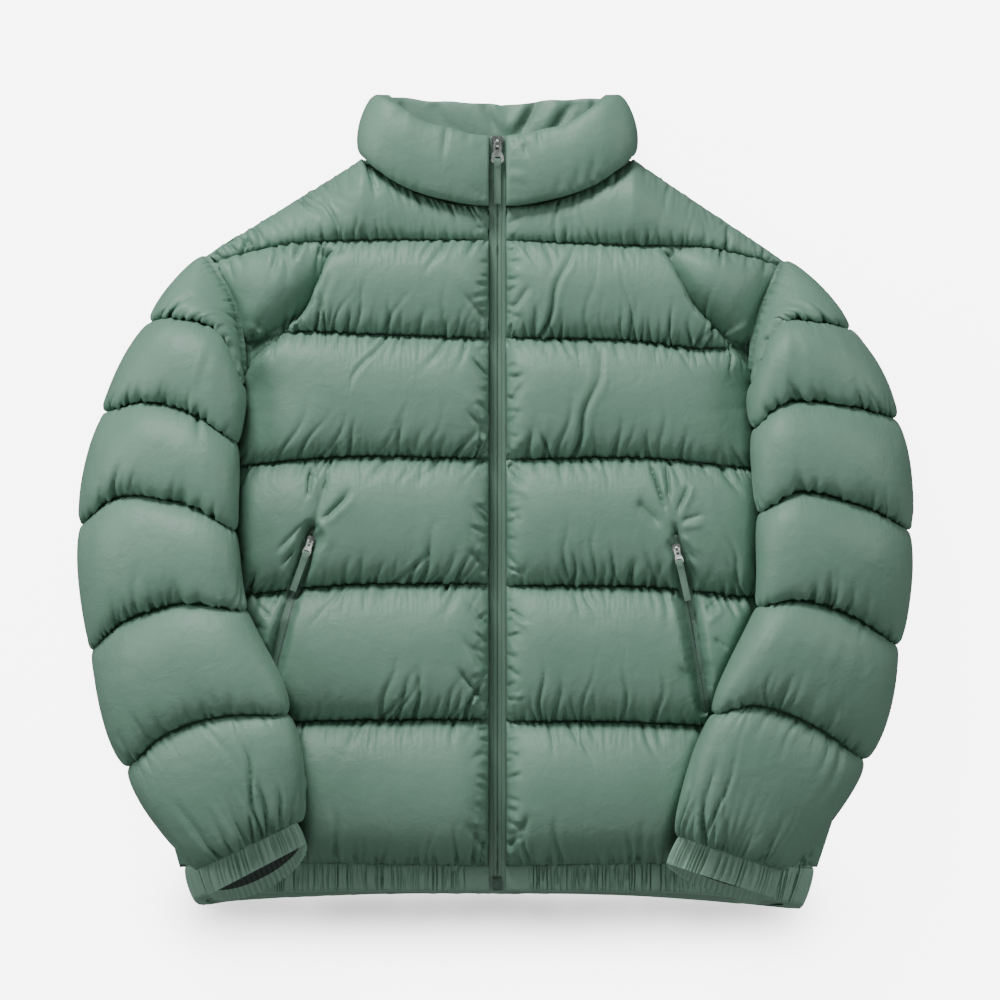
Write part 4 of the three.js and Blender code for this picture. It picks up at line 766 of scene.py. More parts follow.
# %% Sleeves
def sleeve_ring(side, at, angle, puffed=True):
    """Places on a sleeve: seam number and angle, 0 at the outer edge and half a turn at the inner."""
    seams = SLEEVE_SEAMS[side]
    last = len(seams) - 1
    at, angle = np.broadcast_arrays(np.asarray(at, float), np.asarray(angle, float))
    plan = smooth_at(np.array([s[0] for s in seams]).reshape(last + 1, 8), at).reshape(at.shape + (4, 2))
    numbers = smooth_at(np.array([s[1:] for s in seams], float), at)
    outer_z, inner_z, rise, puff, edge, under = np.moveaxis(numbers, -1, 0)
    across = (1 - np.cos(angle)) / 2
    over = np.sin(angle)
    straight = lerp(plan[..., 0, :], plan[..., 3, :], across[..., None])
    q = across * 3
    k = np.minimum(np.floor(q).astype(int), 2)
    f = (q - k)[..., None]
    extended = np.concatenate([2 * plan[..., :1, :] - plan[..., 1:2, :], plan,
                               2 * plan[..., 3:, :] - plan[..., 2:3, :]], -2)
    pick = lambda n: np.take_along_axis(extended, (k + n)[..., None, None].repeat(2, -1), -2)[..., 0, :]
    a, b, c, d = pick(0), pick(1), pick(2), pick(3)
    bowed = 0.5 * (2 * b + (c - a) * f + (2 * a - 5 * b + 4 * c - d) * f ** 2
                   + (3 * b - a - 3 * c + d) * f ** 3)
    share = np.where(over >= 0, 1, clamp(under))[..., None]
    place = lerp(straight, bowed, share)
    chord = lerp(outer_z, inner_z, across)
    fraction = at - np.floor(at)
    profile = puff_profile(fraction) if puffed else np.zeros_like(at)
    line = plan[..., 0, :] - plan[..., 3, :]
    line = line / np.linalg.norm(line, axis=-1, keepdims=True)
    at_armpit = np.where((at < 1) & (across > 0.5), at * 0.3, 1)
    spread = edge * profile * np.cos(angle) * at_armpit
    place = place + line * spread[..., None]
    out, y = place[..., 0], place[..., 1]
    arch = np.abs(over) ** 0.62
    first = np.where(at < 1, 1 - 0.85 * clamp((across - 0.45) / 0.5), 1)
    top = chord + rise * arch + puff * profile * np.maximum(over, 0) ** 0.7 * first
    sag = lerp(120, 14, clamp((at - 5.3) / 0.7))
    floor = body_top(side, out, y) + 5 * clamp(at / 1.5)
    low = np.minimum(np.maximum(np.maximum(chord - sag * arch, floor), 0), chord - 3 * arch)
    z = np.where(over >= 0, top, low)
    x = SIDES[side] * (out + np.where(at < 1, 1.1 * (1 - at), 0))
    return np.stack([x, y, z], -1)


def ring_angles(side, top_step, under_step):
    """Angles that space points evenly round the middle of a sleeve, from its underside."""
    fine = np.linspace(-0.5 * math.pi, 1.5 * math.pi, 1441)
    ring = sleeve_ring(side, np.full_like(fine, 3.5), fine)
    steps = np.linalg.norm(np.diff(ring, axis=0), axis=1)
    middle = 0.5 * (fine[1:] + fine[:-1])
    wide = np.where((middle > -0.25) & (middle < math.pi + 0.25), top_step, under_step)
    total = np.concatenate([[0], np.cumsum(steps / wide)])
    return np.interp(np.linspace(0, total[-1], int(total[-1]) + 1), total, fine)


sleeves = {}
for side in SIDES:
    angles = ring_angles(side, 2.1, 5.0)
    heights = [60, 95, 104, 98, 108, 100]
    rows = section_rows(heights, STEP)
    at = np.array([k + t for k, t in rows])[:, None]
    shape = sleeve_ring(side, at, angles[None, :])
    talls = np.array([heights[k] for k, t in rows], float)[:, None] * np.ones_like(shape[..., 0])
    down = np.gradient(shape, axis=0)
    down[..., 2] = 0
    down /= np.linalg.norm(down, axis=2, keepdims=True) + 1e-9
    t = np.array([r[1] for r in rows])[:, None, None]
    top = clamp(np.sin(angles) + 0.2)[None, :, None]
    lobes = 1 + 0.55 * noise(shape.shape[:2], (60, 4.5), 71 + SIDES[side])[..., None]
    shape = shape + down * overhang(t) * 6.5 * np.clip(lobes, 0.2, 2) * top * clamp(at[..., None] / 1.2)
    seed = 21 if side == "right" else 22
    plans = {"all": ((7.5, 15, 1.4, 0.1), (7.5, 24, 3.6, 0.1)), 5: ((9, 28, 2.2, 0.2), (8, 54, 4.6, 0.15))}
    shape = gathers(shape, rows, talls, -SIDES[side], seed, plans)
    extra_u, from_seam = slack(rows, talls, 0.03, 0.006, 12)
    free = from_seam > 0.01
    free[:, 0] = free[:, -1] = False
    free[0] = free[-1] = False
    cap = 0.2 + np.minimum(3, 0.3 * from_seam)
    cloth = relax(shape, extra_u, np.ones_like(extra_u), free, cap, 36, seed, outward=-SIDES[side])
    sleeves[side] = cloth
    tucked = cloth[:1].copy()
    tucked[..., 0] -= SIDES[side] * 5
    tucked[..., 2] = lerp(tucked[..., 2].mean(), tucked[..., 2], 0.5)
    cloth = np.concatenate([tucked, cloth])
    plain_at = np.array([0, 0.5, 1, 2, 3, 4, 5, 5.5, 6])[:, None]
    n = 10
    plain = np.linspace(-0.5 * math.pi, 1.5 * math.pi, n, endpoint=False)[None, :]
    upper = sleeve_ring(side, plain_at, np.where(np.sin(plain) >= 0, plain, -plain), False)
    lower = sleeve_ring(side, plain_at, np.where(np.sin(plain) < 0, plain, -plain), False)
    middle = 0.5 * (upper + lower)
    centre = middle.mean(1, keepdims=True)
    inner = centre + 0.75 * (middle - centre)
    gape = lerp(1.2, 8.5, clamp(plain_at - 5) ** 1.5) * np.sin(plain)
    inner[..., 2] = lerp(lower[..., 2], upper[..., 2], 0.46) + gape
    pucker = np.exp(-from_seam / 12)
    pucker = np.concatenate([pucker[:1], pucker])[:, :-1]
    piece = closed_piece(f"sleeve_{side}_quilt", cloth[:, :-1], inner, wrap=True, pucker=pucker)
    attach(piece, "jacket")
    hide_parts(f"sleeve_{side}")
    print(piece.name, len(piece.data.polygons), "faces")

# %% [markdown]
# The back can't be seen from above. It's finished plainly, with channels at the same heights as the front's
# seams and puckers across them, because a back is quilted through all layers. It lies on the floor, so its
# underside stays flat except for those channels.

# %% Back
BACK_SEAMS = {"right": [226, 152, 30, -95, -214], "left": [224, 148, 27, -100, -219]}


def back_quilting(side, out, y):
    """Shallow channels pressed into the underside along the seams, with puckers across them."""
    rise = np.zeros(np.broadcast(out, y).shape)
    for number, seam in enumerate(BACK_SEAMS[side]):
        line = seam + 12 * (1 - out / 320) + 1.2 * np.sin(out / 9 + number)
        above = y - line
        pucker = 0.6 + 0.4 * np.sin(out / 2.9 + 1.7 * np.sin(out / 23 + number) + above / 11)
        rise += 4.2 * np.exp(-(above / 3.2) ** 2) + 1.3 * pucker * np.exp(-np.abs(above) / 13)
    dents = 0.35 * (np.sin(out / 31 + y / 47) + np.sin(out / 19 - y / 23 + 1) + 1.4)
    return rise + np.maximum(dents, 0) * clamp((320 - out) / 60)


def back_grid(lower, shares, ys):
    shoulder_shares = np.array([1, 0.8, 0.55, 0.27, 0])
    rows = []
    for kind, value in [("s", f) for f in shoulder_shares] + [("y", y) for y in ys]:
        row = {}
        for side in SIDES:
            if kind == "s":
                tip = ARMHOLE[side]["tip"]
                edge = ARMHOLE[side]["outs"][0]
                out = edge * shares
                neck = lerp(NECK_BACK_Y, NECK_CORNER_Y, (out / NECK_OUT) ** 3)
                y = lerp(tip, np.where(out < NECK_OUT, neck, front_top_y(side, out)), value)
            else:
                y = np.full_like(shares, value)
                edge = float(side_out(side, float(value)))
                out = edge * shares
            from_shoulder = np.where(out > NECK_OUT, front_top_y(side, out) - y, 1e9)
            inward = np.maximum(0, np.minimum(side_out(side, y) - out, from_shoulder))
            drop = 3.4 * clamp(inward / 20) + 0.8
            below = np.minimum(y, front_top_y(side, np.maximum(out, NECK_OUT)))
            top = layer_level(side, out, below, 9) - drop
            turn = clamp(1 - (edge - out) / 14)
            lifted = 7 * turn * turn + back_quilting(side, out, y) if lower else 0
            z = np.minimum(top - 3, lifted) if lower else top
            row[side] = np.stack([SIDES[side] * out, y, z], -1)
        rows.append(np.concatenate([row["right"], row["left"][::-1][1:]]))
    return np.array(rows)


shares = 1 - np.linspace(0, 1, 50) ** 1.4
ys = np.concatenate([np.linspace(222, 130, 24), np.linspace(126, HEM_SEAM_Y - 4, 119)])
under = back_grid(True, shares, ys)
over = back_grid(False, np.array([1, 0.97, 0.9, 0.8, 0.66, 0.46, 0.24, 0]), ys[::6])
piece = closed_piece("back_quilt", under, over)
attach(piece, "jacket")
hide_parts("back")
print(piece.name, len(piece.data.polygons), "faces")

# %% [markdown]
# A stand collar is one long filled roll from zip edge to zip edge. Lying flat, it closes into a loop whose
# back half is seen from inside, with folds where the neck's cloth is too long for the curve. Cross sections
# follow the loop, and their thickness swells in the middle, so the rim stays narrow.

# %% Collar
# Creases in the collar, in mm from the zip and up from its foot: along, up, to along, up, width, height.
COLLAR_CREASES = {
    "right": [(43, 74, 47, 34, 4, -2.6), (53, 70, 92, 62, 3.5, -3), (30, 74, 54, 66, 4, 2),
              (2, 8, 24, 18, 3, -2), (2, 56, 18, 48, 3, -1.5), (88, 66, 110, 50, 6, -1.6)],
    "left": [(2, 60, 30, 46, 3.4, -2.2), (3, 50, 30, 60, 3, 1.8), (12, 70, 26, 40, 3, -2),
             (32, 70, 36, 48, 3, -1.8), (1, 36, 30, 30, 3, -1.6), (1, 29, 26, 23, 2.6, 1.2),
             (1, 22, 30, 17, 3, -1.6), (1, 12, 26, 9, 3, -1.5), (60, 2, 80, 26, 3, -1.4),
             (74, 2, 96, 28, 3, -1.4), (44, 2, 58, 20, 3, -1.3)],
}
# Folds inside the back of the collar: from the middle of the back, along, up, to along, up, width, height.
NECK_FOLDS = [(-18, 70, 2, 30, 4, 3.6), (-8, 70, 12, 34, 5, -2.4), (46, 74, 16, 24, 5, 5.5),
              (34, 72, 6, 30, 6, -3), (82, 66, 50, 24, 4, 3.6), (68, 68, 40, 30, 6, -2.6),
              (104, 66, 98, 22, 4, 3.4), (-70, 66, -48, 30, 6, 2), (-108, 62, -90, 30, 5, 2.4)]


def collar_grid(outside, at, heights):
    last = len(COLLAR) - 1
    here = smooth_at(COLLAR, at)
    before = smooth_at(COLLAR, np.maximum(at - 0.3, 0))
    after = smooth_at(COLLAR, np.minimum(at + 0.3, last))
    halves = []
    for side in SIDES:
        rise = after[:, 4] - before[:, 4]
        turn = np.stack([-SIDES[side] * np.where(np.abs(rise) < 0.5, 0, rise), 0 * rise,
                         after[:, 0] - before[:, 0]], -1)
        turn[-1] = (0, 0, -1)
        turn /= np.linalg.norm(turn, axis=1, keepdims=True)
        line = np.stack([here[:, 0], here[:, 1], here[:, 4]], -1)
        along = np.concatenate([[0], np.cumsum(np.linalg.norm(np.diff(line, axis=0), axis=1))])
        grid = []
        for h in heights:
            x = SIDES[side] * lerp(here[:, 0], here[:, 2], h)
            y = lerp(here[:, 1], here[:, 3], h)
            middle = np.stack([x, y, here[:, 4]], -1)
            swell = 0.35 + 0.65 * math.sin(math.pi * h) ** 0.6
            reach = here[:, 5] * swell if outside else -here[:, 5] * 0.72 * lerp(swell, 1, 0.5)
            if outside:
                reach = reach + creases(along, 66 * h, COLLAR_CREASES[side])
            else:
                from_middle = SIDES[side] * (along[-1] - along)
                reach = reach + creases(from_middle, 66 * h, NECK_FOLDS) * clamp(along / 200)
            p = middle + turn * reach[:, None]
            ripple = np.sin(along / 17 + SIDES[side]) + 0.7 * np.sin(along / 7.3 + 2)
            p[:, 1] += 0.8 * h * h * ripple * clamp(along / 30)
            p[:, 2] = np.maximum(p[:, 2], 0)
            grid.append(p)
        halves.append(np.array(grid))
    return np.concatenate([halves[0], halves[1][:, ::-1][:, 1:]], 1)


collar_at = np.linspace(0, 12, 170)
bow = 0.5 - 0.5 * np.cos(np.linspace(0, math.pi, 36))
shape = collar_grid(True, collar_at, bow)
rows = [(0, h) for h in bow]
talls = np.full(shape.shape[:2], 66.0)
shape = gathers(shape, rows, talls, 1, 31, {"all": ((11, 14, 1.2, 0.2), (13, 9, 0.8, 0.1))})
free = np.ones(shape.shape[:2], bool)
free[0] = free[-1] = free[:, 0] = free[:, -1] = False
level_cut = np.ones(shape.shape[:2])
cap = 0.3 + np.minimum(2.5, 26 * np.minimum(bow, 1 - bow))[:, None] * level_cut
collar_outer = relax(shape, level_cut * 1.01, level_cut, free, cap, 24, 31, outward=1)
collar_inner = collar_grid(False, collar_at, np.linspace(0, 1, 34))
piece = closed_piece("collar_roll", collar_outer, collar_inner)
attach(piece, "jacket")
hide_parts("collar")
print(piece.name, len(piece.data.polygons), "faces")

# %% [markdown]
# An elastic is sewn into the band while stretched. When it draws back, the cloth folds into close ridges that
# run across the band. Only the band's front is seen, so the grid is fine there and coarse below. The narrow
# valleys come from noise near zero: where a smooth random line crosses zero, a valley is cut.

# %% Hem band
BAND_TUCK = -0.14


def gathered(rows, cols, pitch, depth, seed):
    """Ridges and valleys that run across an elastic band, uneven in width, height and lean."""
    fine = noise((rows, cols), (34, pitch), seed)
    broad = noise((rows, cols), (26, 4 * pitch), seed + 5)
    slanted = noise((rows, cols), (6, 0.9 * pitch), seed + 9)
    strength = clamp(0.9 + 0.3 * noise((rows, cols), (60, 26), seed + 2))
    valleys = np.exp(-((fine + 0.35 * slanted) / 0.68) ** 2)
    return depth * strength * (0.5 - 1.5 * valleys + 0.25 * broad)


def hem_grid(outside, shares, heights, waves=None):
    halves = []
    for side in SIDES:
        table = HEM_BAND[side]
        line = np.stack([SIDES[side] * table[:, 0], table[:, 1], table[:, 4]], -1)
        lengths = np.concatenate([[0], np.cumsum(np.linalg.norm(np.diff(line, axis=0), axis=1))])
        distance = shares * lengths[-1]
        f = np.interp(distance, lengths, np.arange(len(lengths)))
        fa = np.interp(distance - 4, lengths, np.arange(len(lengths)))
        fb = np.interp(distance + 4, lengths, np.arange(len(lengths)))
        here, a, b = smooth_at(table, f), smooth_at(table, fa), smooth_at(table, fb)
        along_x, along_z = b[:, 0] - a[:, 0], b[:, 4] - a[:, 4]
        normal = np.stack([-along_z * SIDES[side], 0 * along_z, along_x], -1)
        normal /= np.linalg.norm(normal, axis=1, keepdims=True)
        loose = clamp((distance - 22) / 8)
        down = distance > lengths[6] - 30
        grid = []
        for i, h in enumerate(heights):
            seam = np.stack([SIDES[side] * here[:, 0], here[:, 1], here[:, 4]], -1)
            free_edge = np.stack([SIDES[side] * here[:, 2], here[:, 3], here[:, 5]], -1)
            swell = -0.4 + 1.4 * abs(math.sin(math.pi * max(h, 0))) ** 0.4
            reach = 2.5 * swell if outside else -2.5
            if h < 0:
                reach = -1.6 if outside else -2.5
            p = lerp(seam, free_edge, h)
            if outside:
                wave = waves[side][i] * loose * math.sin(math.pi * (0.16 + 0.72 * max(h, 0)))
                p[:, 1] += 0.5 * wave * max(h, 0) ** 3
                wave = np.where(down, 0.3 * wave, wave)
                reach = reach + wave
            p = p + normal * np.broadcast_to(reach, distance.shape)[:, None]
            p[:, 2] = np.maximum(p[:, 2], 0)
            grid.append(p)
        halves.append(np.array(grid))
    return np.concatenate([halves[0], halves[1][:, ::-1][:, 1:]], 1)


hem_shares = np.concatenate([np.linspace(0, 0.52, 800, endpoint=False), np.linspace(0.52, 1, 110)])
hem_heights = np.concatenate([[BAND_TUCK], 0.5 - 0.5 * np.cos(np.linspace(0, math.pi, 20))])
waves = {side: gathered(21, 910, 7.0, 2.9, 41 + SIDES[side]) for side in SIDES}
hem_outer = hem_grid(True, hem_shares, hem_heights, waves)
piece = closed_piece("hem_band_gathered", hem_outer, hem_grid(False, np.linspace(0, 1, 60), [BAND_TUCK, 1]))
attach(piece, "jacket")
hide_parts("hem_band")
print(piece.name, len(piece.data.polygons), "faces")

# %% [markdown]
# Each cuff is the same kind of band, closed to a ring. Its ribs are more even, because a cuff's elastic is
# short and evenly stretched, so a wave round the ring is used and only its steps drift a little. The mouth
# is dark inside, in real shade and in painted shade on its inner faces, and the ribs show again on the far rim.

# %% Cuffs
CUFF_RIBS = 54


def cuff_grid(side, v, angle, inset):
    cuff = CUFFS[side]
    plan = SLEEVE_SEAMS[side][-1][0]
    line = np.array(plan[0], float) - np.array(plan[3], float)
    line /= np.linalg.norm(line)
    base = sleeve_ring(side, np.full_like(angle, 6.0), angle, False)
    across = (1 - np.cos(angle)) / 2
    under = np.where(np.sin(angle) < 0, -np.sin(angle), 0) * v
    run = lerp(np.array(cuff["outer"])[:, None], np.array(cuff["inner"])[:, None], across) * v
    run = run + np.array(cuff["under"])[:, None] * under
    spread = (1.5 * v - inset) * np.cos(angle)
    x = base[..., 0] + SIDES[side] * (run[0] + spread * line[0])
    y = base[..., 1] + run[1] + spread * line[1] - 0.5
    z = base[..., 2] + (4 * v - inset) * np.sin(angle) - 8 * v
    return np.stack([x, y, z], -1)


cuff_angles = np.linspace(0, 2 * math.pi, 900, endpoint=False)
cuffs = {}
for side in SIDES:
    vs = np.concatenate([[-0.12], np.linspace(0, 1, 18)])
    drift = noise((19, 900), (40, 30), 51 + SIDES[side])
    ribs = np.sin(0.5 * CUFF_RIBS * cuff_angles[None, :] + 1.1 * drift)
    ribs = 0.5 - 1.5 * np.exp(-(ribs / 0.6) ** 2) * (1 + 0.35 * noise((19, 900), (40, 13), 61))
    swell = np.sin(math.pi * (0.14 + 0.74 * clamp(vs)))[:, None]
    inset = np.where(vs < 0, 3.5, 1.2)[:, None] - (2.1 * ribs + 0.7) * swell * (vs >= 0)[:, None]
    outer = np.array([cuff_grid(side, v, cuff_angles, inset[i]) for i, v in enumerate(vs)])
    cuffs[side] = outer
    rim = 0.9 * np.cos(CUFF_RIBS * cuff_angles[::3])
    inner = np.array([cuff_grid(side, v, cuff_angles[::3], 4.7 + rim * (v > 0.5))
                      for v in (-0.12, 0.3, 0.74, 1)])
    piece = closed_piece(f"cuff_{side}_gathered", outer, inner, wrap=True)
    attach(piece, "jacket")
    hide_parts(f"cuff_{side}")
    print(piece.name, len(piece.data.polygons), "faces")

# %% [markdown]
# Zip tapes and pull straps are firm woven ribbons. Their solids already have the right outline. Rolling their
# edges a little and adding a slight ripple is enough, so these pieces are made from the solids' own faces.

# %% Tapes and straps
def finer(name, body, waviness, bevel):
    """A zip tape or strap with rolled edges and a slight ripple, made from its plain solid."""
    mesh = bpy.data.objects[name].data.copy()
    work = bmesh.new()
    work.from_mesh(mesh)
    bmesh.ops.remove_doubles(work, verts=work.verts, dist=1e-5)
    bmesh.ops.dissolve_limit(work, angle_limit=math.radians(2), verts=work.verts, edges=work.edges)
    sharp = [e for e in work.edges if len(e.link_faces) == 2 and e.calc_face_angle(0) > math.radians(40)]
    bmesh.ops.bevel(work, geom=sharp, offset=bevel, segments=2, profile=0.6, affect="EDGES",
                    clamp_overlap=True)
    bmesh.ops.triangulate(work, faces=work.faces)
    long = [e for e in work.edges if e.calc_length() > 0.006]
    bmesh.ops.subdivide_edges(work, edges=long, cuts=2)
    bmesh.ops.triangulate(work, faces=work.faces)
    for v in work.verts:
        x, y, z = 1000 * v.co
        ripple = math.sin(0.21 * y + 0.13 * x) + 0.6 * math.sin(0.47 * y + 2) + 0.4 * math.sin(1.3 * y + 0.5 * x)
        v.co.z += waviness * MM * ripple
    work.to_mesh(mesh)
    work.free()
    mesh.polygons.foreach_set("use_smooth", [True] * len(mesh.polygons))
    mesh.set_sharp_from_angle(angle=math.radians(50))
    piece = bpy.data.objects.new(f"{name}_woven", mesh)
    bpy.context.collection.objects.link(piece)
    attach(piece, body)
    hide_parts(name)
    return piece


for side in SIDES:
    finer(f"zip_tape_{side}", "jacket", 0.12, 0.0005)
    finer(f"pocket_zip_{side}", "jacket", 0.1, 0.0004)
    finer(f"strap_pocket_{side}", f"pull_pocket_{side}_body", 0.05, 0.0004)
finer("strap_front", "pull_front_body", 0.05, 0.0004)

# %% [markdown]
# A material is a sum of simple patterns. Written as nodes, a sum takes many lines, so this small class wraps
# a socket and turns Python's plus, minus and times into Math nodes. The materials below then read as
# formulas.

# %% A class for shader expressions
class Wire:
    """A shader socket; Python arithmetic on it adds Math nodes."""

    def __init__(self, tree, socket=None):
        self.tree = tree
        self.socket = socket

    def node(self, kind, out=0, stops=(), inputs=None, **settings):
        made = self.tree.nodes.new(kind)
        for key, value in settings.items():
            setattr(made, key, value)
        for number, (place, colour) in enumerate(stops):
            ramp = made.color_ramp.elements
            element = ramp[number] if number < len(ramp) else ramp.new(place)
            element.position, element.color = place, (*colour, 1)
        for key, value in (inputs or {}).items():
            if isinstance(value, Wire):
                self.tree.links.new(value.socket, made.inputs[key])
            else:
                made.inputs[key].default_value = value
        return Wire(self.tree, made.outputs[out])

    def calc(self, operation, *values):
        return self.node("ShaderNodeMath", operation=operation, inputs=dict(enumerate(values)))

    def __add__(self, other):
        return self.calc("ADD", self, other)

    def __sub__(self, other):
        return self.calc("SUBTRACT", self, other)

    def __rsub__(self, other):
        return self.calc("SUBTRACT", other, self)

    def __mul__(self, other):
        return self.calc("MULTIPLY", self, other)

    __radd__ = __add__
    __rmul__ = __mul__

    def sine(self):
        return self.calc("SINE", self)


def begin(name):
    made = bpy.data.materials.new(name)
    made.use_nodes = True
    tree = made.node_tree
    return made, Wire(tree), tree.nodes["Principled BSDF"]


def connect(wire, shader, socket):
    wire.tree.links.new(wire.socket, shader.inputs[socket])


def blend(a, b, share):
    return share.node("ShaderNodeMix", out=2, data_type="RGBA", inputs={0: share, 6: a, 7: b})


print("shader expressions ready")

# %% [markdown]
# The shell is a thin, tightly woven nylon with a soft shine. Four things are mixed: clouds of a lighter
# tone, a fine crumple, the threads themselves and a grain. Near seams, streaks across the seam catch light
# as small creases do. The elastic bands, tapes and straps use the same formula with coarser threads.

# %% Woven cloth
FULL_TURN = 2 * math.pi


def cloth(name, deep, pale, rough, thread, thread_depth, crumple, sheen, mapped=True):
    """Woven cloth: two tones in soft clouds, threads and a fine crumple. Sizes in metres."""
    made, start, shader = begin(name)
    place = start.node("ShaderNodeTexCoord", out="Object")
    lie = start.node("ShaderNodeUVMap", uv_map="cloth") if mapped else place
    u = lie.node("ShaderNodeSeparateXYZ", out="X", inputs={0: lie})
    v = lie.node("ShaderNodeSeparateXYZ", out="Y", inputs={0: lie})
    warp = (u * (FULL_TURN / thread)).sine()
    weft = (v * (FULL_TURN / thread)).sine()
    weave = warp * weft * 0.5 + 0.5
    clouds = start.node("ShaderNodeTexNoise", inputs={"Vector": place, "Scale": 16.0, "Detail": 3.0})
    folds = start.node("ShaderNodeTexNoise", inputs={"Vector": place, "Scale": 1 / crumple[0], "Detail": 4.0,
                                                     "Roughness": 0.6, "Distortion": 0.4})
    grain = start.node("ShaderNodeTexNoise", inputs={"Vector": place, "Scale": 900.0, "Detail": 2.0})
    flat = lie.node("ShaderNodeMapping", inputs={"Vector": lie, "Scale": (200.0, 30.0, 1.0)})
    streaks = start.node("ShaderNodeTexNoise",
                         inputs={"Vector": flat, "Scale": 1.0, "Detail": 2.0, "Distortion": 0.3})
    near_seam = start.node("ShaderNodeAttribute", out="Fac", attribute_name="pucker")
    share = clouds * 0.7 + folds * 0.2 + weave * 0.1 + grain * 0.16 - 0.08
    connect(blend((*deep, 1), (*pale, 1), share), shader, "Base Color")
    connect(clouds * 0.1 + grain * 0.08 + (rough - 0.09), shader, "Roughness")
    height = (folds * crumple[1] + streaks * near_seam * 0.0013
              + weave * thread_depth + grain * (0.4 * thread_depth))
    bump = start.node("ShaderNodeBump", inputs={"Height": height, "Distance": 1.0, "Strength": 1.0})
    connect(bump, shader, "Normal")
    shader.inputs["Sheen Weight"].default_value = sheen
    shader.inputs["Sheen Roughness"].default_value = 0.45
    shader.inputs["Sheen Tint"].default_value = (0.62, 0.86, 0.74, 1)
    shader.inputs["Specular IOR Level"].default_value = 0.36
    return made


shell = cloth("shell_nylon", (0.1, 0.2, 0.146), (0.148, 0.275, 0.205), 0.47, 0.0007, 0.00003,
              (0.02, 0.0012), 0.05)
# The hem band and cuffs are the shell's nylon with tones painted lighter: painted light, where they lie in
# shade.
band = cloth("elastic_band", (0.175, 0.31, 0.235), (0.26, 0.42, 0.33), 0.5, 0.0007, 0.00004,
             (0.007, 0.0008), 0.06)
tape = cloth("zip_tape", (0.125, 0.225, 0.17), (0.18, 0.3, 0.23), 0.5, 0.0013, 0.00007,
             (0.02, 0.0002), 0.15, False)
# The pocket zips' tape is painted darker than the front zip's tape: painted shade in the pocket slits.
slit_painted_shade = cloth("pocket_tape", (0.06, 0.115, 0.088), (0.1, 0.175, 0.135), 0.55, 0.0011, 0.00008,
             (0.006, 0.0002), 0.05, False)
strap = cloth("pull_strap", (0.15, 0.25, 0.19), (0.21, 0.33, 0.26), 0.55, 0.0011, 0.0001,
              (0.006, 0.0002), 0.1, False)
# Near-black cloth for the inner faces of sleeves and cuffs: painted shade, as the same nylon lies in shadow
# there.
inside = cloth("shell_inside", (0.018, 0.031, 0.025), (0.042, 0.066, 0.053), 0.6, 0.0007, 0.00003,
               (0.011, 0.0008), 0.05)
print("cloth materials", [m.name for m in (shell, band, tape, slit_painted_shade, strap, inside)])

# %% [markdown]
# Sliders and pulls are cast, then plated, with fine drawn lines; broad random patches in their colour are
# painted lighter and darker as painted reflections. Thread is two strands twisted together, so its tone changes
# along it.

# %% Metal and stitching thread
def brushed(name, deep, pale, rough):
    made, start, shader = begin(name)
    place = start.node("ShaderNodeTexCoord", out="Object")
    drawn = start.node("ShaderNodeMapping", inputs={"Vector": place, "Scale": (1.0, 0.08, 1.0)})
    lines = start.node("ShaderNodeTexNoise", inputs={"Vector": drawn, "Scale": 5200.0, "Detail": 3.0})
    spots = start.node("ShaderNodeTexNoise", inputs={"Vector": place, "Scale": 420.0, "Detail": 4.0})
    # Broad patches painted lighter and darker in the metal's colour: painted reflections.
    painted_reflection_patches = start.node("ShaderNodeTexNoise", inputs={"Vector": place, "Scale": 130.0, "Detail": 1.0})
    connect(blend((*deep, 1), (*pale, 1), painted_reflection_patches * 2.4 + spots * 0.3 + lines * 0.4 - 1.0), shader, "Base Color")
    connect(lines * 0.22 + spots * 0.14 + (rough - 0.18), shader, "Roughness")
    bump = start.node("ShaderNodeBump", inputs={"Height": lines * 0.00002 + spots * 0.00004, "Distance": 1.0})
    connect(bump, shader, "Normal")
    shader.inputs["Metallic"].default_value = 1.0
    return made


def spun(name, deep, pale):
    made, start, shader = begin(name)
    place = start.node("ShaderNodeTexCoord", out="Object")
    twist = start.node("ShaderNodeTexNoise", inputs={"Vector": place, "Scale": 1800.0, "Detail": 2.0})
    connect(blend((*deep, 1), (*pale, 1), twist), shader, "Base Color")
    connect(twist * 0.2 + 0.5, shader, "Roughness")
    bump = start.node("ShaderNodeBump", inputs={"Height": twist * 0.00006, "Distance": 1.0})
    connect(bump, shader, "Normal")
    return made


metal = brushed("zip_metal", (0.1, 0.125, 0.115), (0.78, 0.84, 0.8), 0.26)
painted = brushed("painted_metal", (0.03, 0.05, 0.042), (0.1, 0.15, 0.125), 0.42)
thread = spun("thread", (0.1, 0.17, 0.13), (0.2, 0.31, 0.25))
dark_coil = spun("coil", (0.012, 0.02, 0.017), (0.04, 0.06, 0.05))
print("metal and thread", metal.name, painted.name, thread.name, dark_coil.name)

# %% [markdown]
# Every piece gets one of the materials. The inner faces of sleeves and cuffs get the near-black one, a painted
# shade, because no light reaches in there; the cuff's rim keeps the band's own cloth.

# %% Finishes on the pieces
for o in list(bpy.data.objects):
    if o.type != "MESH":
        continue
    if "quilt" in o.name or "roll" in o.name:
        o.data.materials.append(shell)
    elif "gathered" in o.name:
        o.data.materials.append(band)
    elif o.name.endswith("_woven"):
        o.data.materials.clear()
        o.data.materials.append(strap if "strap" in o.name else slit_painted_shade if "pocket" in o.name else tape)
for name in frame["nodes"]:
    o = bpy.data.objects.get(name)
    if o is not None and name.startswith(("slider", "pull", "zip_stop")):
        o.data.materials.clear()
        o.data.materials.append(painted if name == "zip_stop" else metal)
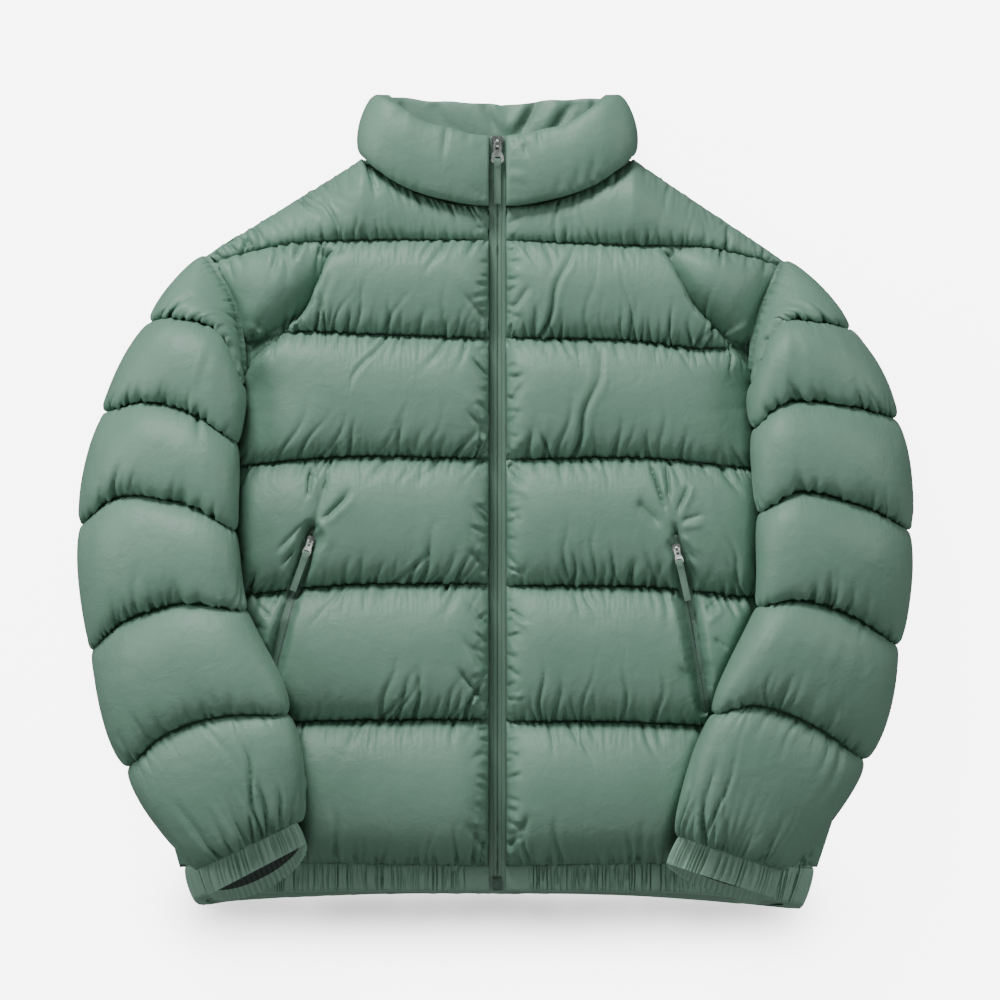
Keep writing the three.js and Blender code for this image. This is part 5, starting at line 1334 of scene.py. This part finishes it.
# The inner faces of sleeves and cuffs get the near-black cloth, a painted shade.
for side in SIDES:
    for piece, outer in ((f"cuff_{side}_gathered", cuffs[side]), (f"sleeve_{side}_quilt", sleeves[side])):
        mesh = bpy.data.objects[piece].data
        mesh.materials.append(inside)
        first_inner = (outer.shape[0] + (piece[0] == "s")) * (outer.shape[1] - (piece[0] == "s"))
        rim = first_inner + 2 * 300 if piece[0] == "c" else len(mesh.vertices)
        for polygon in mesh.polygons:
            if first_inner <= min(polygon.vertices) < rim:
                polygon.material_index = 1
print("finishes set")

# %% [markdown]
# Stitches repeat evenly, so one Geometry Nodes tree lays them: a bead is placed at every step of a line and
# turned along it. Long thin beads are stitches. Short thick ones are the turns of a zip's coil. The result is
# turned into a plain mesh, because the library keeps meshes only. Lines on tapes and straps are laid on the
# surface by rays cast from above.

# %% Stitches and zip coil
def seam_tree():
    """Beads laid along every line of a mesh: stitches of a seam, or turns of a zip's coil."""
    tree = bpy.data.node_groups.new("beads_along_lines", "GeometryNodeTree")
    face = tree.interface
    face.new_socket("Lines", in_out="INPUT", socket_type="NodeSocketGeometry")
    sockets = (("Pitch", "NodeSocketFloat"), ("Size", "NodeSocketVector"), ("Material", "NodeSocketMaterial"))
    for label, kind in sockets:
        face.new_socket(label, in_out="INPUT", socket_type=kind)
    face.new_socket("Beads", in_out="OUTPUT", socket_type="NodeSocketGeometry")

    def add(kind, **settings):
        made = tree.nodes.new(kind)
        for key, value in settings.items():
            setattr(made, key, value)
        return made

    link = tree.links.new
    source, result = add("NodeGroupInput"), add("NodeGroupOutput")
    curve = add("GeometryNodeMeshToCurve")
    points = add("GeometryNodeCurveToPoints", mode="LENGTH")
    bead = add("GeometryNodeMeshUVSphere")
    bead.inputs["Segments"].default_value = 6
    bead.inputs["Rings"].default_value = 4
    bead.inputs["Radius"].default_value = 0.5
    place = add("GeometryNodeInstanceOnPoints")
    real = add("GeometryNodeRealizeInstances")
    finish = add("GeometryNodeSetMaterial")
    link(source.outputs["Lines"], curve.inputs["Mesh"])
    link(curve.outputs["Curve"], points.inputs["Curve"])
    link(source.outputs["Pitch"], points.inputs["Length"])
    link(points.outputs["Points"], place.inputs["Points"])
    link(points.outputs["Rotation"], place.inputs["Rotation"])
    link(bead.outputs["Mesh"], place.inputs["Instance"])
    link(source.outputs["Size"], place.inputs["Scale"])
    link(place.outputs["Instances"], real.inputs["Geometry"])
    link(real.outputs["Geometry"], finish.inputs["Geometry"])
    link(source.outputs["Material"], finish.inputs["Material"])
    link(finish.outputs["Geometry"], result.inputs["Beads"])
    return tree


beads = seam_tree()


def along_lines(name, lines, pitch, size, material, body="jacket"):
    """Lines in table millimetres to a plain mesh of beads; pitch and size in millimetres."""
    points, edges = [], []
    for line in lines:
        start = len(points)
        points += ((np.asarray(line) + MIDDLE) * MM).tolist()
        edges += [(start + i, start + i + 1) for i in range(len(line) - 1)]
    mesh = bpy.data.meshes.new(name)
    mesh.from_pydata(points, edges, [])
    piece = bpy.data.objects.new(name, mesh)
    bpy.context.collection.objects.link(piece)
    modifier = piece.modifiers.new("beads", "NODES")
    modifier.node_group = beads
    values = {"Pitch": pitch * MM, "Size": tuple(s * MM for s in size), "Material": material}
    for item in beads.interface.items_tree:
        if item.name in values:
            modifier[item.identifier] = values[item.name]
    made = bpy.data.meshes.new_from_object(piece.evaluated_get(bpy.context.evaluated_depsgraph_get()))
    piece.modifiers.clear()
    piece.data = made
    made.polygons.foreach_set("use_smooth", [True] * len(made.polygons))
    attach(piece, body)
    print(name, len(made.polygons), "faces")
    return piece


def top_of(name):
    """A finder for the top of a piece, and the plan of its points in table millimetres."""
    mesh = bpy.data.objects[name].data
    corners = [v.co.copy() for v in mesh.vertices]
    finder = BVHTree.FromPolygons(corners, [list(p.vertices) for p in mesh.polygons])
    return finder, np.array([v.co[:2] for v in mesh.vertices]) / MM - MIDDLE[:2]


def lengthwise(name, aside, ends, lift):
    """A line along a long piece, laid on its top; aside is a share of its half width."""
    finder, plan = top_of(name)
    centre = 0.5 * (plan.max(0) + plan.min(0))
    way = np.linalg.svd(plan - plan.mean(0), full_matrices=False)[2][0]
    way = way * np.sign(way[1])
    across = np.array([way[1], -way[0]])
    along, over = (plan - centre) @ way, (plan - centre) @ across
    line = []
    for f in np.linspace(along.min() + ends, along.max() - ends, 60):
        x, y = centre + way * f + across * (0.5 * (over.max() + over.min()) + aside * 0.5 * np.ptp(over))
        hit = finder.ray_cast(Vector(((x + MIDDLE[0]) * MM, (y + MIDDLE[1]) * MM, 1)), Vector((0, 0, -1)))[0]
        if hit is not None:
            line.append((x, y, hit.z / MM + lift))
    return np.array(line)


def seam_lines(grid, heights, skip, lift):
    """The lines of a grid that lie in its seams, raised a little."""
    count, lines, at = 0, [], 0
    for tall in heights[:-1]:
        at += max(8, round(tall / STEP))
        lines.append(grid[at, skip[0]:grid.shape[1] - skip[1]] + (0, 0, lift))
    return lines


for side in SIDES:
    lines = seam_lines(fronts[side], [62, 92, 116, 122, 124, 140], (3, 3), 0.2)
    along_lines(f"front_{side}_seams", lines, 3.3, (0.5, 0.5, 2.7), thread)
    arc = sleeves[side].shape[1]
    lines = seam_lines(sleeves[side], [60, 95, 104, 98, 108, 100], (arc // 5, arc // 5), 0.2)
    along_lines(f"sleeve_{side}_seams", lines, 3.3, (0.5, 0.5, 2.7), thread)
band_rows = [hem_outer[3] + (0, 0.5, 0.35), hem_outer[-4] + (0, 0, 0.35)]
on_top = [line[:760] for line in band_rows] + [line[-760:] for line in band_rows]
along_lines("hem_band_stitches", on_top, 3.1, (0.45, 0.45, 2.4), thread)
tape_lines = [lengthwise(f"zip_tape_{side}_woven", 0.72 * SIDES[side], 4, 0.05) for side in SIDES]
along_lines("zip_tape_stitches", tape_lines, 3.0, (0.4, 0.4, 2.3), thread)
beside = [lengthwise(f"zip_tape_{side}_woven", -0.86 * SIDES[side], 6, -0.35) for side in SIDES]
along_lines("zip_coil_front", beside, 1.7, (1.0, 0.9, 1.1), dark_coil)
for side in SIDES:
    middle = [lengthwise(f"pocket_zip_{side}_woven", 0, 3, -0.1)]
    along_lines(f"zip_coil_pocket_{side}", middle, 1.4, (1.7, 0.8, 0.9), dark_coil)
strap_bodies = [("front", "pull_front_body")]
strap_bodies += [(f"pocket_{side}", f"pull_pocket_{side}_body") for side in SIDES]
for name, body in strap_bodies:
    edges = [lengthwise(f"strap_{name}_woven", aside, 3.5, 0.05) for aside in (-0.62, 0.62)]
    along_lines(f"strap_{name}_stitches", edges, 2.4, (0.3, 0.3, 1.8), thread, body)

# %% [markdown]
# The picture is a studio cut-out: white ground, a large soft light from above the collar, weaker ones from
# both sides that bring out the gathers, and a soft shadow under the hem. A floor as bright as this one would
# wash the shadow out, so the floor's own glow is lowered along the hem.

# %% Floor and light
FLOOR_GLOW = 6.0
floor_mesh = bpy.data.meshes.new("floor")
floor_mesh.from_pydata([(-4, -4, 0), (4, -4, 0), (4, 4, 0), (-4, 4, 0)], [], [(0, 1, 2, 3)])
floor = bpy.data.objects.new("floor", floor_mesh)
bpy.context.collection.objects.link(floor)
pale, start, floor_shader = begin("floor")
place = start.node("ShaderNodeTexCoord", out="Object")
x = start.node("ShaderNodeSeparateXYZ", out="X", inputs={0: place})
y = start.node("ShaderNodeSeparateXYZ", out="Y", inputs={0: place})
# The floor's glow is painted darker in a soft band under the hem: a painted shadow, made uneven by the noise.
below = y.calc("MULTIPLY_ADD", y, 1 / 0.036, 0.387 / 0.036)
beside = (x.calc("ABSOLUTE", x) - 0.295) * (1 / 0.016)
fade = start.calc("DIVIDE", start.calc("EXPONENT", 0 - below * below), start.calc("EXPONENT", beside) + 1)
grain = start.node("ShaderNodeTexNoise", inputs={"Vector": place, "Scale": 9.0, "Detail": 2.0})
painted_shadow = fade * (grain * 0.3 + 0.82)
floor_shader.inputs["Base Color"].default_value = (0.9, 0.9, 0.9, 1)
floor_shader.inputs["Roughness"].default_value = 0.9
connect(blend((1, 1, 1, 1), (0.13, 0.13, 0.13, 1), painted_shadow), floor_shader, "Emission Color")
floor_shader.inputs["Emission Strength"].default_value = FLOOR_GLOW
floor.data.materials.append(pale)
floor.visible_diffuse = False
floor.visible_glossy = False


def area_light(name, place, target, size, power):
    data = bpy.data.lights.new(name, "AREA")
    data.shape = "RECTANGLE"
    data.size, data.size_y = size
    data.energy = power
    lamp = bpy.data.objects.new(name, data)
    bpy.context.collection.objects.link(lamp)
    lamp.location = place
    lamp.rotation_euler = (Vector(target) - Vector(place)).to_track_quat("-Z", "Y").to_euler()
    return lamp


area_light("key", (-0.8, 2.35, 1.55), (0, 0, 0), (1.1, 0.7), 94)
area_light("side", (-2.3, 0.7, 1.1), (0, 0, 0), (0.8, 1.2), 30)
area_light("far_side", (2.3, 0.9, 1.1), (0, 0, 0), (0.8, 1.2), 20)
area_light("fill", (0.2, -1.6, 2.5), (0, 0, 0), (2.2, 1.6), 15)
world = bpy.data.worlds.new("world")
world.use_nodes = True
world.node_tree.nodes["Background"].inputs["Color"].default_value = (1, 1, 1, 1)
world.node_tree.nodes["Background"].inputs["Strength"].default_value = 0.17
bpy.context.scene.world = world
